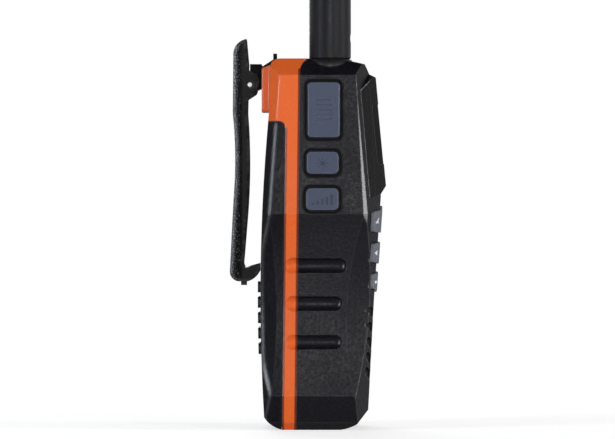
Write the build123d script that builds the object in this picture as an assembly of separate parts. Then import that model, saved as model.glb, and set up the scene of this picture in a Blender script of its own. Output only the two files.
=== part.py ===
"""Handheld marine VHF radio with a belt clip.

Frame: X runs across the case, with the push-to-talk side at -X.  Y runs from the front face (-Y) to the
battery and belt clip (+Y).  Z is up.  The origin is the middle of the flat base the radio stands on.
All lengths are millimetres.

The case is one envelope cut from crossed prisms: a side profile, a front outline and four corner profiles
a side.  The front housing, mid frame and battery pack are slices of that envelope, so their skins line up.
"""
from build123d import *
import math
import os

os.makedirs("parts", exist_ok=True)

far = 60.0                   # past every face, for cuts that run right through

# ---- heights from the base ----
foot_z = 2.8                 # top of the rounded bottom corner
foot_crease_z = 12.8         # where the grip ends and the foot tapers in
grip_scoop_z = 42.0          # deepest level of the scooped grip
waist_z = 46.0               # narrowest level of the grip
belly_z = 48.2               # bend in the front face half way down the grip

# ---- heights stacked up from the speaker: keypad, chest, display, top face ----
speaker_z = 30.4
speaker_radius = 16.2
speaker_ring_wall = 1.25
keys_over_speaker = 3.15
chest_over_keys = 3.7        # the front face is furthest forward at the chest
crease_under_chest = 6.7     # the case is widest at the crease, where the side faces turn in to the grip
window_over_chest = 11.7
window_height = 22.2
window_top_drop = 17.2

# ---- drops under the top face ----
deck_front_drop = 1.2
brow_round_drop = 2.2
brow_drop = 5.8
shoulder_drop = 6.4          # where the sloping shoulder meets the side face
nape_drop = 20.0
crown_round = 3.6            # round along the rear top edge

# ---- half widths (X): the widest, and how far the case is set in from it elsewhere ----
crease_half = 31.2
top_inset = 10.2
shoulder_inset = 3.4
waist_inset = 3.4
foot_crease_inset = 1.4
foot_inset = 3.8
base_inset = 6.6

# ---- case depths from the origin plane (Y) ----
brow_depth = 19.1            # front face, just under the rounded top edge
brow_round_depth = 17.4
deck_front_depth = 13.0      # front end of the gently sloping top deck
deck_back_depth = 4.0        # where the deck meets the level rear shoulder
chest_depth = 23.4           # front face at its furthest forward
belly_depth = 20.8           # front face half way down the grip
toe_depth = 18.7             # front face above the bottom chamfer
toe_z = 7.4
toe_chamfer_depth = 14.4
toe_chamfer_z = 2.1
base_front_depth = 8.0
base_back_depth = 8.6
heel_round_depth = 17.2
heel_round_z = 1.8
heel_depth = 20.0            # back of the battery above its rounded heel
heel_z = 4.8
back_depth = 21.3            # back of the battery at its fullest
back_z = 58.0
nape_depth = 18.2            # back of the case at the top of the battery

# ---- corner facets: angle from X, and the depth at which each leaves the side face ----
grip_angle = 18.0            # scooped facets beside the side grip, front and back
grip_front_crease = 17.24
grip_front_waist = 10.3
grip_front_foot = 13.3
grip_back_crease = 18.21
grip_back_waist = 15.15
grip_back_foot = 17.34
edge_angle = 38.0            # narrow bevel between side face and cheek
edge_shoulder = 14.0
edge_crease = 16.75
edge_foot = 13.5
spine_angle = 45.0           # bevel between side face and back face
spine_shoulder = 14.06
spine_crease = 17.73
spine_foot = 17.58
cheek_angle = 58.3           # cheeks beside the flat front face
flat_shoulder_inset = 11.8   # how much narrower the flat front face is than the case
flat_crease_inset = 8.6
flat_foot_inset = 9.8
flat_foot_z = 8.0

# ---- walls and seams ----
wall = 2.0
frame_wall = 3.0             # orange frame, which carries the gasket groove
frame_back_wall = 2.0        # between electronics and battery
pack_wall = 1.6
seam_top_y = 6.6             # front housing to mid frame, at the top and at the base
seam_foot_y = 8.1
seam_bend_drop = 4.8         # where the seam bends forward under the top face
seam_bend_y = 3.4
pack_top_y = 12.2            # mid frame to battery, at the top and at the base
pack_foot_y = 13.4
pack_drop = 23.5             # top of the battery under the top face
pack_round = 2.4
seam_gap = 0.15              # hairline between the battery and the frame
gasket_width = 1.0
gasket_inset = 1.0
gasket_height = 0.8
fit = 0.05                   # clearance of fitted, unmoving parts
slide_gap = 0.25             # clearance round keys and buttons

# ---- side grip grooves ----
groove_z = (60.9, 46.9, 32.7)
groove_front = (10.6, 9.1, 9.0)   # front end of each groove, in front of the origin plane
groove_back = 12.0
groove_height = 5.5
groove_depth = 1.7

# ---- side buttons: the talk button fills the side face over the lamp and squelch buttons ----
ptt_top_drop = 9.1
ptt_over_crease = 28.3       # lower edge of the talk button
ptt_width = 11.8
ptt_depth = 2.1              # centre of the button in front of the origin plane
ptt_corner = 1.3
ptt_travel = 1.0
small_button_travel = 0.7
small_button_corner = 1.7
lamp_over_crease = 18.9
lamp_depth = 1.7
lamp_width = 11.7
lamp_height = 8.2
squelch_over_crease = 5.4
squelch_depth = 1.6
squelch_width = 11.9
squelch_height = 8.1
button_rise = 0.5            # pad above the side face
button_thickness = 3.9
boot_width = 1.15            # rubber boot round a pad
boot_rise = 0.25
boot_flange = 1.2
boot_depth = 2.6
ptt_rib_count = 5
ptt_rib_pitch = 1.8
ptt_rib_length = 6.4
ptt_rib_width = 0.5
ptt_rib_depth = 0.3
switch_size = 6.0
switch_height = 2.6
switch_gap = 0.25            # free space over the switch once the button is fully in
side_board_width = 9.0
side_board_thickness = 1.2
side_board_hold = 4.0        # length of the board held in the housing's stand

# ---- display: the insets are from the widest half width of the case ----
bezel_top_drop = 5.9
bezel_shoulder_drop = 11.5
bezel_top_inset = 11.5
bezel_shoulder_inset = 5.2
bezel_foot_inset = 3.5
bezel_under_chest = 0.6      # lower corners of the bezel
bezel_notch_over_chest = 2.7
bezel_notch_half = 12.0
bezel_flat_inset = 12.8
bezel_side_angle = 43.0
bezel_rise = 2.3
bezel_top_draft = 1.4        # how far the top and bottom edges lean in over that rise
bezel_foot_draft = 2.2
window_inset = 9.0
window_corner = 1.5
lens_recess = 0.2
lens_thickness = 1.5
opening_margin_x = 4.7
opening_margin = 1.6
display_margin_x = 2.8
display_margin = 1.4
display_thickness = 3.2

# ---- keypad: rows from the top down, each with the gap under it and the shape of its outer ends ----
key_rise = 0.9
key_corner = 1.2
key_bottom_depth = 17.3      # back of the keys, in front of the origin plane
key_travel = 0.6
key_flange = 0.8
middle_key_half = 8.6
column_gap = 2.0
key_rows = (
    dict(height=10.0, under=3.4, end_inset=3.9, end_rise=0.2, end_drop=2.2),
    dict(height=8.2, under=3.0, end_inset=4.8, end_rise=0.6, end_drop=0.6),
    dict(height=7.6, under=0.0, end_inset=6.0, end_rise=1.4, end_drop=0.6),
)
mat_inset = 7.8
mat_thickness = 1.0
mat_gap = 0.2                # mat to a fully pressed key
key_board_thickness = 1.2
key_post_inset = 12.7
key_post_under_keys = 2.4
key_post_over_keys = 3.4
key_post_radius = 2.0

# ---- speaker and microphone ----
speaker_seat_depth = 17.4    # flat seat of the mesh, in front of the origin plane
mesh_thickness = 0.4
speaker_seal_thickness = 1.4
speaker_seal_width = 2.2
speaker_flange = 1.6
speaker_basket = 3.6
speaker_magnet = 2.6
speaker_magnet_radius = 9.5
slot_count = 5
slot_pitch = 5.6
slot_width = 2.7
slot_radius = 34.0           # slots are arcs that rise to the sides
slot_under_speaker = 18.2    # lowest slot, on the centre line
slot_inset = 7.2
mic_z = 9.0
mic_port_radius = 0.6
mic_radius = 2.4
mic_length = 3.0
mic_boot_wall = 0.8

# ---- antenna ----
antenna_inset = 15.7
antenna_y = -4.5
antenna_radius = 7.8
antenna_tip_radius = 5.2
antenna_length = 158.0
antenna_straight = 60.0
antenna_wall = 2.6
collar_radius = 8.8
collar_neck = 0.9            # how far the collar narrows to the antenna
collar_flare = 2.2
collar_drop = 0.35
collar_height = 5.6
boss_wall = 1.7
socket_radius = 4.0
socket_length = 12.0
socket_wall = 1.6
plug_radius = 2.3
plug_length = 8.0
coil_radius = 3.4
dimple_rise = 7.6
dimple_radius = 1.9
dimple_depth = 0.5

# ---- volume control ----
knob_inset = 17.6
knob_y = -4.5
knob_radius = 7.0
knob_top_radius = 6.3
knob_height = 11.0
knob_gap = 0.35
knob_flutes = 18
shaft_radius = 2.0
pot_size = 10.0
pot_height = 7.0
bushing_radius = 3.2

# ---- accessory socket, on the +X side ----
accessory_drop = 34.0
accessory_width = 12.0
accessory_height = 22.0
accessory_recess = 1.3
accessory_rise = 0.9
jack_radius = 4.2
jack_length = 10.0

# ---- boards and inner fixings ----
board_inset = 12.6
board_low_z = 8.5
board_top_drop = 14.2
board_depth = 4.0            # front of the main board, in front of the origin plane
board_thickness = 1.6
board_post_inset = 3.1       # from the board's edges
board_post_low_z = 14.0
board_post_high_z = 92.0
board_post_radius = 2.5
can_half = 13.0
can_depth = 3.0
can_sheet = 0.3
cans = ((68.0, 30.0), (106.0, 26.0))     # middle and height of each shield can
case_screw_inset = 9.8
case_screw_low_z = 14.5
case_screw_drop = 8.0
case_screw_radius = 1.25
case_screw_head = 2.3
case_screw_head_height = 1.2
case_post_radius = 2.4
board_screw_radius = 0.9
board_screw_head = 1.7
board_screw_head_height = 0.9

# ---- belt clip ----
boss_half = 14.5
boss_depth = 21.0
boss_top_drop = 3.4
boss_slope = 0.4             # rise of the boss's top for each millimetre towards the case
boss_low_drop = 19.6
boss_round = 0.8
rail_neck_half = 6.0
rail_foot_half = 9.0
rail_neck = 1.5
rail_foot = 2.0
rail_floor_drop = 18.0
pivot_y = 25.45
pivot_drop = 9.5
pin_radius = 0.85
ear_half = 5.6
ear_radius = 3.2
spring_slot_half = 3.4
plate_drop = 10.8            # lower edge of the bracket outside the boss
plate_gap = 0.1
plate_thickness = 1.5
tab_half = 5.5
tab_top_rise = 2.3
tab_y = 15.35
tab_thickness = 1.4
strap_thickness = 0.8
strap_gap = 0.15
lever_face = 31.85           # outer face of the lever
lever_edge = 26.25           # inner edge of its flanges, beside the pivot
lever_half = 11.0
lever_wall = 2.2
lever_flange = 1.8
lever_nose_rise = 7.6
lip_z = 55.0
lip_gap = 0.35
toe_half = 2.6
toe_height = 1.5
spring_wire = 0.4
spring_radius = 1.6
spring_turns = 4

# ---- battery ----
rib_count = 5
rib_pitch = 5.75
rib_height = 4.1
rib_top_z = 55.0
rib_rise = 1.1
rib_inset = 15.2
pack_lid_thickness = 1.4
cell_inset = 8.2
cell_gap = 1.2
cell_low_z = 16.0
cell_top_drop = 38.0
cell_thickness = 3.9
terminal_drop = 34.5
terminal_pitch = 6.0
terminal_count = 3
charge_z = 12.0
charge_half = 9.0
charge_radius = 2.4

# ---- levels and half widths that follow from these sizes ----
speaker_ring_radius = speaker_radius + speaker_ring_wall
keys_low_z = speaker_z + speaker_ring_radius + keys_over_speaker
keys_high_z = keys_low_z + sum(row["height"] + row["under"] for row in key_rows)
chest_z = keys_high_z + chest_over_keys
crease_z = chest_z - crease_under_chest
window_foot_z = chest_z + window_over_chest
window_high_z = window_foot_z + window_height
body_height = window_high_z + window_top_drop
top_half = crease_half - top_inset
shoulder_half = crease_half - shoulder_inset
waist_half = crease_half - waist_inset
foot_crease_half = crease_half - foot_crease_inset
foot_half = crease_half - foot_inset
base_half = crease_half - base_inset
window_half = crease_half - window_inset
antenna_x = antenna_inset - crease_half
knob_x = crease_half - knob_inset
below = -far
above = body_height + far


def level(drop):
    """Height of a point that lies a given distance under the top face."""
    return body_height - drop


def between(z, low, high):
    """Value at height z on the straight line through two (height, value) stations."""
    return low[1] + (high[1] - low[1]) * (z - low[0]) / (high[0] - low[0])


def along_x(section, x_from, x_to):
    """Extrude a sketch drawn in Y and Z between two X positions."""
    return extrude(Plane.YZ.offset(x_from) * section, amount=x_to - x_from, dir=(1, 0, 0))


def along_y(section, y_from, y_to):
    """Extrude a sketch drawn in X and Z between two Y positions."""
    return extrude(Plane.XZ.offset(-y_from) * section, amount=y_to - y_from, dir=(0, 1, 0))


def along_z(section, z_from, z_to):
    """Extrude a sketch drawn in X and Y between two heights."""
    return extrude(Plane.XY.offset(z_from) * section, amount=z_to - z_from, dir=(0, 0, 1))


def raised(plane, section, low, high):
    """Extrude a sketch drawn on a plane between two heights over that plane."""
    return extrude(plane.offset(low) * section, amount=high - low, dir=plane.z_dir)


def both_sides(shape):
    """The shape and its mirror image across the middle of the case."""
    return shape + mirror(shape, about=Plane.YZ)


def face_of(*curves):
    """The face inside a closed chain of curves."""
    edges = []
    for curve in curves:
        edges.extend(curve.edges())
    return make_face(edges)


# ---- the envelope ----
nape_z = level(nape_drop)
shoulder_z = level(shoulder_drop)
brow_z = level(brow_drop)


def side_half(z):
    """Half width of the case at a height, on the side faces."""
    if z >= crease_z:
        return between(z, (crease_z, crease_half), (shoulder_z, shoulder_half))
    if z >= waist_z:
        share = (z - waist_z) / (crease_z - waist_z)
        return waist_half + (crease_half - waist_half) * share ** 2
    share = (waist_z - z) / (waist_z - foot_crease_z)
    return waist_half + (foot_crease_half - waist_half) * share ** 2


def front_depth(z):
    """Depth of the flat front face at a height."""
    if z >= chest_z:
        return between(z, (chest_z, chest_depth), (brow_z, brow_depth))
    if z >= belly_z:
        return between(z, (belly_z, belly_depth), (chest_z, chest_depth))
    return between(z, (toe_z, toe_depth), (belly_z, belly_depth))


def facet_reach(angle, half, depth):
    """Distance from the upright axis to the facet plane that holds a point of the case."""
    turn = math.radians(angle)
    return half * math.cos(turn) + depth * math.sin(turn)


def side_section():
    """Case outline seen from the side, in Y and Z."""
    heel = (heel_depth, heel_z)
    nape = (nape_depth, nape_z)
    crown_start = (nape_depth - 0.3, level(crown_round))
    crown_end = (nape_depth - 0.3 - crown_round, body_height)
    front = Polyline(
        crown_end,
        (deck_back_depth, body_height),
        (-deck_front_depth, level(deck_front_drop)),
        (-brow_round_depth, level(brow_round_drop)),
        (-brow_depth, brow_z),
        (-chest_depth, chest_z),
        (-belly_depth, belly_z),
        (-toe_depth, toe_z),
        (-toe_chamfer_depth, toe_chamfer_z),
    )
    base_front = (-base_front_depth, 0)
    base_back = (base_back_depth, 0)
    toe_middle = (-(base_front_depth + toe_chamfer_depth) / 2, toe_chamfer_z * 0.32)
    toe = ThreePointArc((-toe_chamfer_depth, toe_chamfer_z), toe_middle, base_front)
    heel_arc = ThreePointArc(base_back, (heel_round_depth, heel_round_z), heel)
    back = ThreePointArc(heel, (back_depth, back_z), nape)
    crown = TangentArc(crown_start, crown_end, tangent=(0, 1))
    base = Line(base_front, base_back)
    rear = Line(nape, crown_start)
    return face_of(front, toe, base, heel_arc, back, rear, crown)


def front_section():
    """Case outline seen from the front, in X and Z."""
    base = Line((-base_half, 0), (base_half, 0))
    top = Line((-top_half, body_height), (top_half, body_height))
    curves = [base, top]
    for side in (-1, 1):
        foot = (side * foot_crease_half, foot_crease_z)
        crease = (side * crease_half, crease_z)
        shoulder = (side * shoulder_half, shoulder_z)
        curves.append(Polyline((side * base_half, 0), (side * foot_half, foot_z), foot))
        curves.append(ThreePointArc(foot, (side * waist_half, waist_z), crease))
        curves.append(Polyline(crease, shoulder, (side * top_half, body_height)))
    return face_of(*curves)


def corner_plane(angle):
    """Upright plane whose X runs out through a corner of the case, the angle measured from the side face."""
    reach = (math.cos(math.radians(angle)), -math.sin(math.radians(angle)), 0)
    normal = (-math.sin(math.radians(angle)), -math.cos(math.radians(angle)), 0)
    return Plane(origin=(0, 0, 0), x_dir=reach, z_dir=normal)


def corner_cut(angle, outer):
    """Solid inside one pair of corner facets, from the curves of the facet's outline (reach, height)."""
    start = outer[0].edges()[0] @ 0
    end = outer[-1].edges()[-1] @ 1
    inner = Polyline((end.X, end.Y), (-2 * far, end.Y), (-2 * far, start.Y), (start.X, start.Y))
    section = face_of(*outer, inner)
    right = extrude(corner_plane(angle) * section, amount=2 * far, both=True)
    return right & mirror(right, about=Plane.YZ)


def carry(low, high, z):
    """Point at height z on the line through two (height, reach) stations, as (reach, height)."""
    return (between(z, low, high), z)


def scooped_facets(side, grow, crease_y, waist_y, foot_y):
    """Corner facets with a hollow grip between the foot and the crease, and full corners beyond."""
    crease = facet_reach(grip_angle, crease_half, crease_y) + grow
    waist = facet_reach(grip_angle, side_half(grip_scoop_z), waist_y) + grow
    foot = facet_reach(grip_angle, foot_crease_half, foot_y) + grow
    grip = ThreePointArc((foot, foot_crease_z), (waist, grip_scoop_z), (crease, crease_z))
    under = Line((foot, below), (foot, foot_crease_z))
    over = Line((crease, crease_z), (crease, above))
    return corner_cut(side * grip_angle, [under, grip, over])


def bent_facets(angle, grow, top, crease, foot, foot_level):
    """Corner facets that lean in above and below the crease."""
    upper_low = (crease_z, crease + grow)
    upper_high = (shoulder_z, top + grow)
    lower_low = (foot_level, foot + grow)
    bend = (crease + grow, crease_z)
    lower = Line(carry(lower_low, (crease_z, crease + grow), below), bend)
    upper = Line(bend, carry(upper_low, upper_high, above))
    return corner_cut(angle, [lower, upper])


def envelope(grow=0.0):
    """The whole case as one solid, with every face moved out by the given distance."""
    side_face = side_section()
    front_face = front_section()
    if grow:
        side_face = offset(side_face, amount=grow, kind=Kind.INTERSECTION)
        front_face = offset(front_face, amount=grow, kind=Kind.INTERSECTION)
    body = along_x(side_face, -far, far) & along_y(front_face, -far, far)
    body &= scooped_facets(1, grow, grip_front_crease, grip_front_waist, grip_front_foot)
    body &= scooped_facets(-1, grow, grip_back_crease, grip_back_waist, grip_back_foot)
    body &= bent_facets(cheek_angle, grow, *cheek_reaches, flat_foot_z)
    body &= bent_facets(edge_angle, grow, *edge_reaches, foot_crease_z)
    body &= bent_facets(-spine_angle, grow, *spine_reaches, foot_crease_z)
    return body


cheek_reaches = (
    facet_reach(cheek_angle, crease_half - flat_shoulder_inset, front_depth(shoulder_z)),
    facet_reach(cheek_angle, crease_half - flat_crease_inset, front_depth(crease_z)),
    facet_reach(cheek_angle, crease_half - flat_foot_inset, front_depth(flat_foot_z)),
)
edge_reaches = (
    facet_reach(edge_angle, shoulder_half, edge_shoulder),
    facet_reach(edge_angle, crease_half, edge_crease),
    facet_reach(edge_angle, foot_crease_half, edge_foot),
)
spine_reaches = (
    facet_reach(spine_angle, shoulder_half, spine_shoulder),
    facet_reach(spine_angle, crease_half, spine_crease),
    facet_reach(spine_angle, foot_crease_half, spine_foot),
)


# ---- planes that the display, side buttons and seams are built on ----
side_lean = math.atan((crease_half - shoulder_half) / (shoulder_z - crease_z))
front_lean = math.atan((chest_depth - brow_depth) / (brow_z - chest_z))
display_normal = (0, -math.cos(front_lean), math.sin(front_lean))
display_plane = Plane(origin=(0, -chest_depth, chest_z), x_dir=(1, 0, 0), z_dir=display_normal)


def side_plane(side, depth, z):
    """Plane on a side face, its X towards the front or back, its Y up and its Z out of the case."""
    return Plane(
        origin=(side * side_half(z), -depth, z),
        x_dir=(0, side, 0),
        z_dir=(side * math.cos(side_lean), 0, math.sin(side_lean)))


def display_v(z):
    """Distance up the display plane of a point at height z."""
    return (z - chest_z) / math.cos(front_lean)


def seam_y(z):
    """Depth of the joint between the front housing and the mid frame."""
    return between(z, (0, seam_foot_y), (level(seam_bend_drop), seam_top_y))


def pack_y(z):
    """Depth of the joint between the mid frame and the battery."""
    return between(z, (0, pack_foot_y), (level(pack_drop), pack_top_y))


def ahead_of_seam(shift=0.0):
    """Everything in front of the housing seam, moved back by the shift."""
    bend = (seam_top_y + shift, level(seam_bend_drop))
    low = (seam_y(below) + shift, below)
    top = (seam_bend_y + shift, body_height)
    curve = TangentArc(bend, top, tangent=(0, 1))
    over = Polyline(top, (top[0], above), (-far, above), (-far, below), low)
    return along_x(face_of(Line(low, bend), curve, over), -far, far)


def behind_pack(shift=0.0, drop=0.0):
    """The battery's space, with its front moved back by the shift and its top lowered by the drop."""
    top = level(pack_drop) - drop
    low = (pack_y(below) + shift, below)
    corner = (pack_y(top) + shift, top - pack_round)
    turn = (pack_y(top) + shift + pack_round, top)
    curve = TangentArc(corner, turn, tangent=(0, 1))
    round_trip = Polyline(turn, (far, top), (far, below), low)
    return along_x(face_of(Line(low, corner), curve, round_trip), -far, far)


# ---- case skins ----
skin = envelope()
housing_hollow = envelope(-wall)
frame_hollow = envelope(-frame_wall)
pack_hollow = envelope(-pack_wall)
ahead = ahead_of_seam()
pack_space = behind_pack()


# ---- grip grooves ----

def groove(z, front, grow=0.0):
    """Round-ended bar that presses a finger groove into one side of the case."""
    radius = (groove_height ** 2 / 4 + groove_depth ** 2) / (2 * groove_depth)
    x = side_half(z) + radius - groove_depth
    start = -front + groove_height / 2
    end = groove_back - groove_height / 2
    bar = along_y(Pos(x, z) * Circle(radius + grow), start, end)
    bar += Pos(x, start, z) * Sphere(radius + grow)
    bar += Pos(x, end, z) * Sphere(radius + grow)
    return both_sides(bar)


def grooves(grow=0.0):
    """The three grooves of both sides, pressed deeper by the given distance."""
    bars = Part()
    for z, front in zip(groove_z, groove_front):
        bars += groove(z, front, grow)
    return bars


skin -= grooves()
housing_hollow -= grooves(wall * 0.7)
frame_hollow -= grooves(gasket_inset + gasket_width + 0.5)

mid_frame = skin - ahead - pack_space
mid_frame -= frame_hollow - behind_pack(-frame_back_wall, -frame_back_wall)
battery_case = skin & behind_pack(seam_gap)


# ---- battery: lid, ribs, cells and contacts ----
pack_top = level(pack_drop) - pack_wall


def pack_box(clearance):
    """Everything under the battery's top wall, less a clearance."""
    return along_y(Pos(0, pack_top / 2) * Rectangle(4 * crease_half, pack_top - 2 * clearance), -far, far)


lid_back = seam_gap + pack_lid_thickness
battery_case -= pack_hollow & pack_box(0)
lid_slab = behind_pack(seam_gap) - behind_pack(lid_back, -far)
battery_lid = envelope(-pack_wall - fit) & pack_box(fit) & lid_slab
rib_skin = (envelope(rib_rise) - envelope(-pack_wall / 2)) & behind_pack(5)
rib_half = crease_half - rib_inset
for count in range(rib_count):
    rib_z = rib_top_z - rib_height / 2 - count * rib_pitch
    bar = along_y(Pos(0, rib_z) * RectangleRounded(2 * rib_half, rib_height, 1.4), 0, far)
    battery_case += bar & rib_skin


def against_lid(section, thickness):
    """A slab that stands against the inside of the battery lid."""
    slab = behind_pack(lid_back, -far) - behind_pack(lid_back + thickness, -far)
    return slab & along_y(section, 0, far)


cell_height = level(cell_top_drop) - cell_low_z
cell_half = (crease_half - cell_inset - cell_gap / 2) / 2
terminal_z = level(terminal_drop)
battery_cells = Part()
for side in (-1, 1):
    place = Pos(side * (cell_half + cell_gap / 2), cell_low_z + cell_height / 2)
    battery_cells += against_lid(place * RectangleRounded(2 * cell_half, cell_height, 1.5), cell_thickness)
protection_board = against_lid(Pos(0, pack_top - 6.5) * Rectangle(36, 7), 1.0)
battery_terminals = Part()
contact_pins = Part()
board_back = -board_depth + board_thickness
terminal_face = pack_y(terminal_z) + seam_gap
for count in range(terminal_count):
    x = (count - (terminal_count - 1) / 2) * terminal_pitch
    pad = Pos(x, terminal_z) * Rectangle(3.2, 5)
    window = Pos(x, terminal_z) * Rectangle(3.2 + 2 * fit, 5 + 2 * fit)
    battery_terminals += lid_slab & along_y(pad, 0, far)
    battery_lid -= along_y(window, 0, far)
    contact_pins += along_y(Pos(x, terminal_z) * Circle(1.0), board_back, terminal_face - 0.05)
    mid_frame -= along_y(Pos(x, terminal_z) * Circle(1.0 + fit), 0, far)
charge_contacts = Part()
contact_band = skin - envelope(-0.8)
stem_band = envelope(-0.4) - envelope(-pack_wall - 0.6)
for side in (-1, 1):
    bar = along_y(Pos(side * charge_half, charge_z) * Circle(charge_radius), pack_foot_y, far)
    stem = along_y(Pos(side * charge_half, charge_z) * Circle(charge_radius - 1), pack_foot_y, far)
    battery_case -= bar & contact_band
    battery_case -= stem
    charge_contacts += (bar & contact_band) + (stem & stem_band)


# ---- rear boss that the belt clip hooks into ----
boss_high = level(boss_top_drop)
boss_low = level(boss_low_drop)
boss_root = nape_depth - 1.5
boss_crest = boss_high + boss_slope * (boss_depth - boss_root)
boss_section = Pos(0, (boss_crest + boss_low) / 2) * RectangleRounded(
    2 * boss_half, boss_crest - boss_low, boss_round)
boss_side = Polygon(
    (boss_root, boss_low),
    (boss_depth, boss_low),
    (boss_depth, boss_high),
    (boss_root, boss_crest),
    align=None)
boss = along_y(boss_section, boss_root, boss_depth) & along_x(boss_side, -boss_half, boss_half)
mid_frame += boss - pack_space
rail_floor = level(rail_floor_drop)
undercut_y = boss_depth - rail_neck
rail_back_y = undercut_y - rail_foot


def rail(half, y_from, y_to, clearance):
    """Bar of the slot that the clip bracket slides down, or of the bracket's own foot."""
    low = rail_floor + clearance
    high = boss_high if clearance else above
    section = Pos(0, (low + high) / 2) * Rectangle(2 * (half - clearance), high - low)
    return along_y(section, y_from, y_to)


mid_frame -= rail(rail_neck_half, undercut_y - 1, far, 0)
mid_frame -= rail(rail_foot_half, rail_back_y, undercut_y, 0)

# ---- belt clip bracket: two ears on a plate, a foot in the boss's slot and a release tab over the crown ----
pivot = (pivot_y, level(pivot_drop))
plate_y = boss_depth + plate_gap
plate_back = plate_y + plate_thickness
plate_low = level(plate_drop)
crown_y = nape_depth - 0.3 - crown_round
crown_z = level(crown_round)
bracket_top = boss_high + strap_gap + 2 * strap_thickness
tab_back = tab_y + tab_thickness
tab_high = body_height + tab_top_rise
strap_low = boss_high + strap_gap
strap_section = Polygon(
    (plate_back, strap_low),
    (boss_depth, strap_low),
    (tab_y, strap_low + boss_slope * (boss_depth - tab_y)),
    (tab_y, tab_high),
    (tab_back, tab_high),
    (tab_back, body_height + 0.1),
    (boss_depth - 0.3, strap_low + strap_thickness),
    (boss_depth + 0.2, bracket_top),
    (plate_back, bracket_top),
    align=None)
strap_section -= Pos(crown_y, crown_z) * Circle(crown_round + strap_gap)
strap = along_x(strap_section, -tab_half, tab_half)
plate_section = Pos((plate_y + plate_back) / 2, (plate_low + bracket_top) / 2) * Rectangle(
    plate_thickness, bracket_top - plate_low)
plate = along_x(plate_section, -ear_half, ear_half)
neck_middle = (plate_low + boss_high) / 2
neck_section = Pos(boss_depth, neck_middle) * Rectangle(2 * plate_thickness, boss_high - plate_low)
neck = along_x(neck_section, -ear_half, ear_half)
ear_section = Pos(*pivot) * Circle(ear_radius)
ear_section += Polygon(
    (plate_y, plate_low),
    (pivot_y, pivot[1] - ear_radius),
    (pivot_y, bracket_top),
    (plate_y, bracket_top),
    align=None)
ears = along_x(ear_section, -ear_half, ear_half)
spring_slot = Pos(plate_back + far / 2, pivot[1]) * Rectangle(far, far)
ears -= along_x(spring_slot, -spring_slot_half, spring_slot_half)
clip_bracket = rail(rail_foot_half, rail_back_y + fit, undercut_y - fit, fit)
clip_bracket += rail(rail_neck_half, undercut_y - 1, boss_depth, fit)
clip_bracket += strap + plate + neck + ears
clip_bracket -= along_x(Pos(*pivot) * Circle(pin_radius + fit), -ear_half - 1, ear_half + 1)
clip_bracket -= along_x(
    Pos(*pivot) * Circle(spring_radius + spring_wire + 0.1), -spring_slot_half, spring_slot_half)

# ---- belt clip lever: a channel whose flanges widen to rounded lugs round the pin ----
lip_y = back_depth + lip_gap
nose_top = body_height + lever_nose_rise
nose = (lever_face - 0.2, body_height + 2.0)
blade_top = (lever_face, level(20.0))
blade_low = (lever_face - 0.3, lip_z + 31.0)
heel_back = (lever_face + 1.1, lip_z + 4.0)
heel_under = (lever_face - 3.0, lip_z)
lip_under = (lip_y + 4.6, lip_z)
lip_front = (lip_y, lip_z + 4.0)
hook = (lip_y + 4.6, lip_z + 25.0)
edge_start = (lever_edge, level(20.0))
crest = (lever_edge + 0.4, nose_top)
lever_section = face_of(
    ThreePointArc(crest, (lever_face - 1.1, body_height + 5.0), nose),
    Line(nose, blade_top),
    ThreePointArc(blade_top, (lever_face - 0.9, (blade_low[1] + blade_top[1]) / 2 - 3.3), blade_low),
    Line(blade_low, heel_back),
    ThreePointArc(heel_back, (lever_face + 0.2, lip_z + 1.2), heel_under),
    Line(heel_under, lip_under),
    ThreePointArc(lip_under, (lip_y + 1.9, lip_z + 1.4), lip_front),
    Polyline(
        lip_front,
        (lip_y, lip_z + 6.8),
        (lip_y + 3.0, lip_z + 6.0),
        (lip_y + 5.4, lip_z + 5.0),
        (lip_y + 6.1, lip_z + 6.6),
        hook),
    ThreePointArc(hook, (lip_y + 3.9, lip_z + 40.0), edge_start),
    Polyline(edge_start, (lever_edge - 0.4, level(1.7)), crest))
lug_nose = pivot_y - boss_depth - 0.8
lug_section = Polygon(
    (lever_edge + 2, pivot[1] + 6.6),
    (pivot_y - 2.6, pivot[1] + 4.0),
    (pivot_y - lug_nose, pivot[1] + 0.9),
    (pivot_y - 2.5, pivot[1] - 3.2),
    (pivot_y + 0.7, pivot[1] - 5.3),
    (lever_edge + 2, pivot[1] - 5.8),
    align=None)
lug_corners = lug_section.vertices().filter_by_position(Axis.X, 0, pivot_y + 1)
lug_section = fillet(lug_corners, 1.4)
clip_lever = along_x(lever_section + lug_section, -lever_half, lever_half)
channel_half = lever_half - lever_flange
channel = Part()
for step in range(3):
    channel += along_x(Pos(-lever_wall * (1 + step), 0) * lever_section, -channel_half, channel_half)
channel_low = lip_z + 9
channel_high = nose_top - 3
channel &= along_x(
    Pos(0, (channel_low + channel_high) / 2) * Rectangle(4 * far, channel_high - channel_low), -far, far)
channel += along_x(Pos(pivot_y - 2, pivot[1]) * Rectangle(9, 16), -channel_half, channel_half)
clip_lever -= channel
toe_section = Pos(heel_under[0] - 1.1, lip_z) * Rectangle(2.2, 2 * toe_height)
clip_lever += along_x(toe_section, -toe_half, toe_half)
clip_lever -= along_x(Pos(*pivot) * Circle(pin_radius), -lever_half - 1, lever_half + 1)
clip_pin = along_x(Pos(*pivot) * Circle(pin_radius), -lever_half - 0.3, lever_half + 0.3)

# ---- belt clip spring: turns round the pin ----
spring_length = 2 * spring_slot_half - 2 * spring_wire - 0.7
coil_path = Helix(pitch=spring_length / spring_turns, height=spring_length, radius=spring_radius)
coil = sweep(Plane(origin=coil_path @ 0, z_dir=coil_path % 0) * Circle(spring_wire), path=coil_path)
clip_spring = Plane(origin=(-spring_length / 2, *pivot), x_dir=(0, 1, 0), z_dir=(1, 0, 0)) * coil

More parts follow.
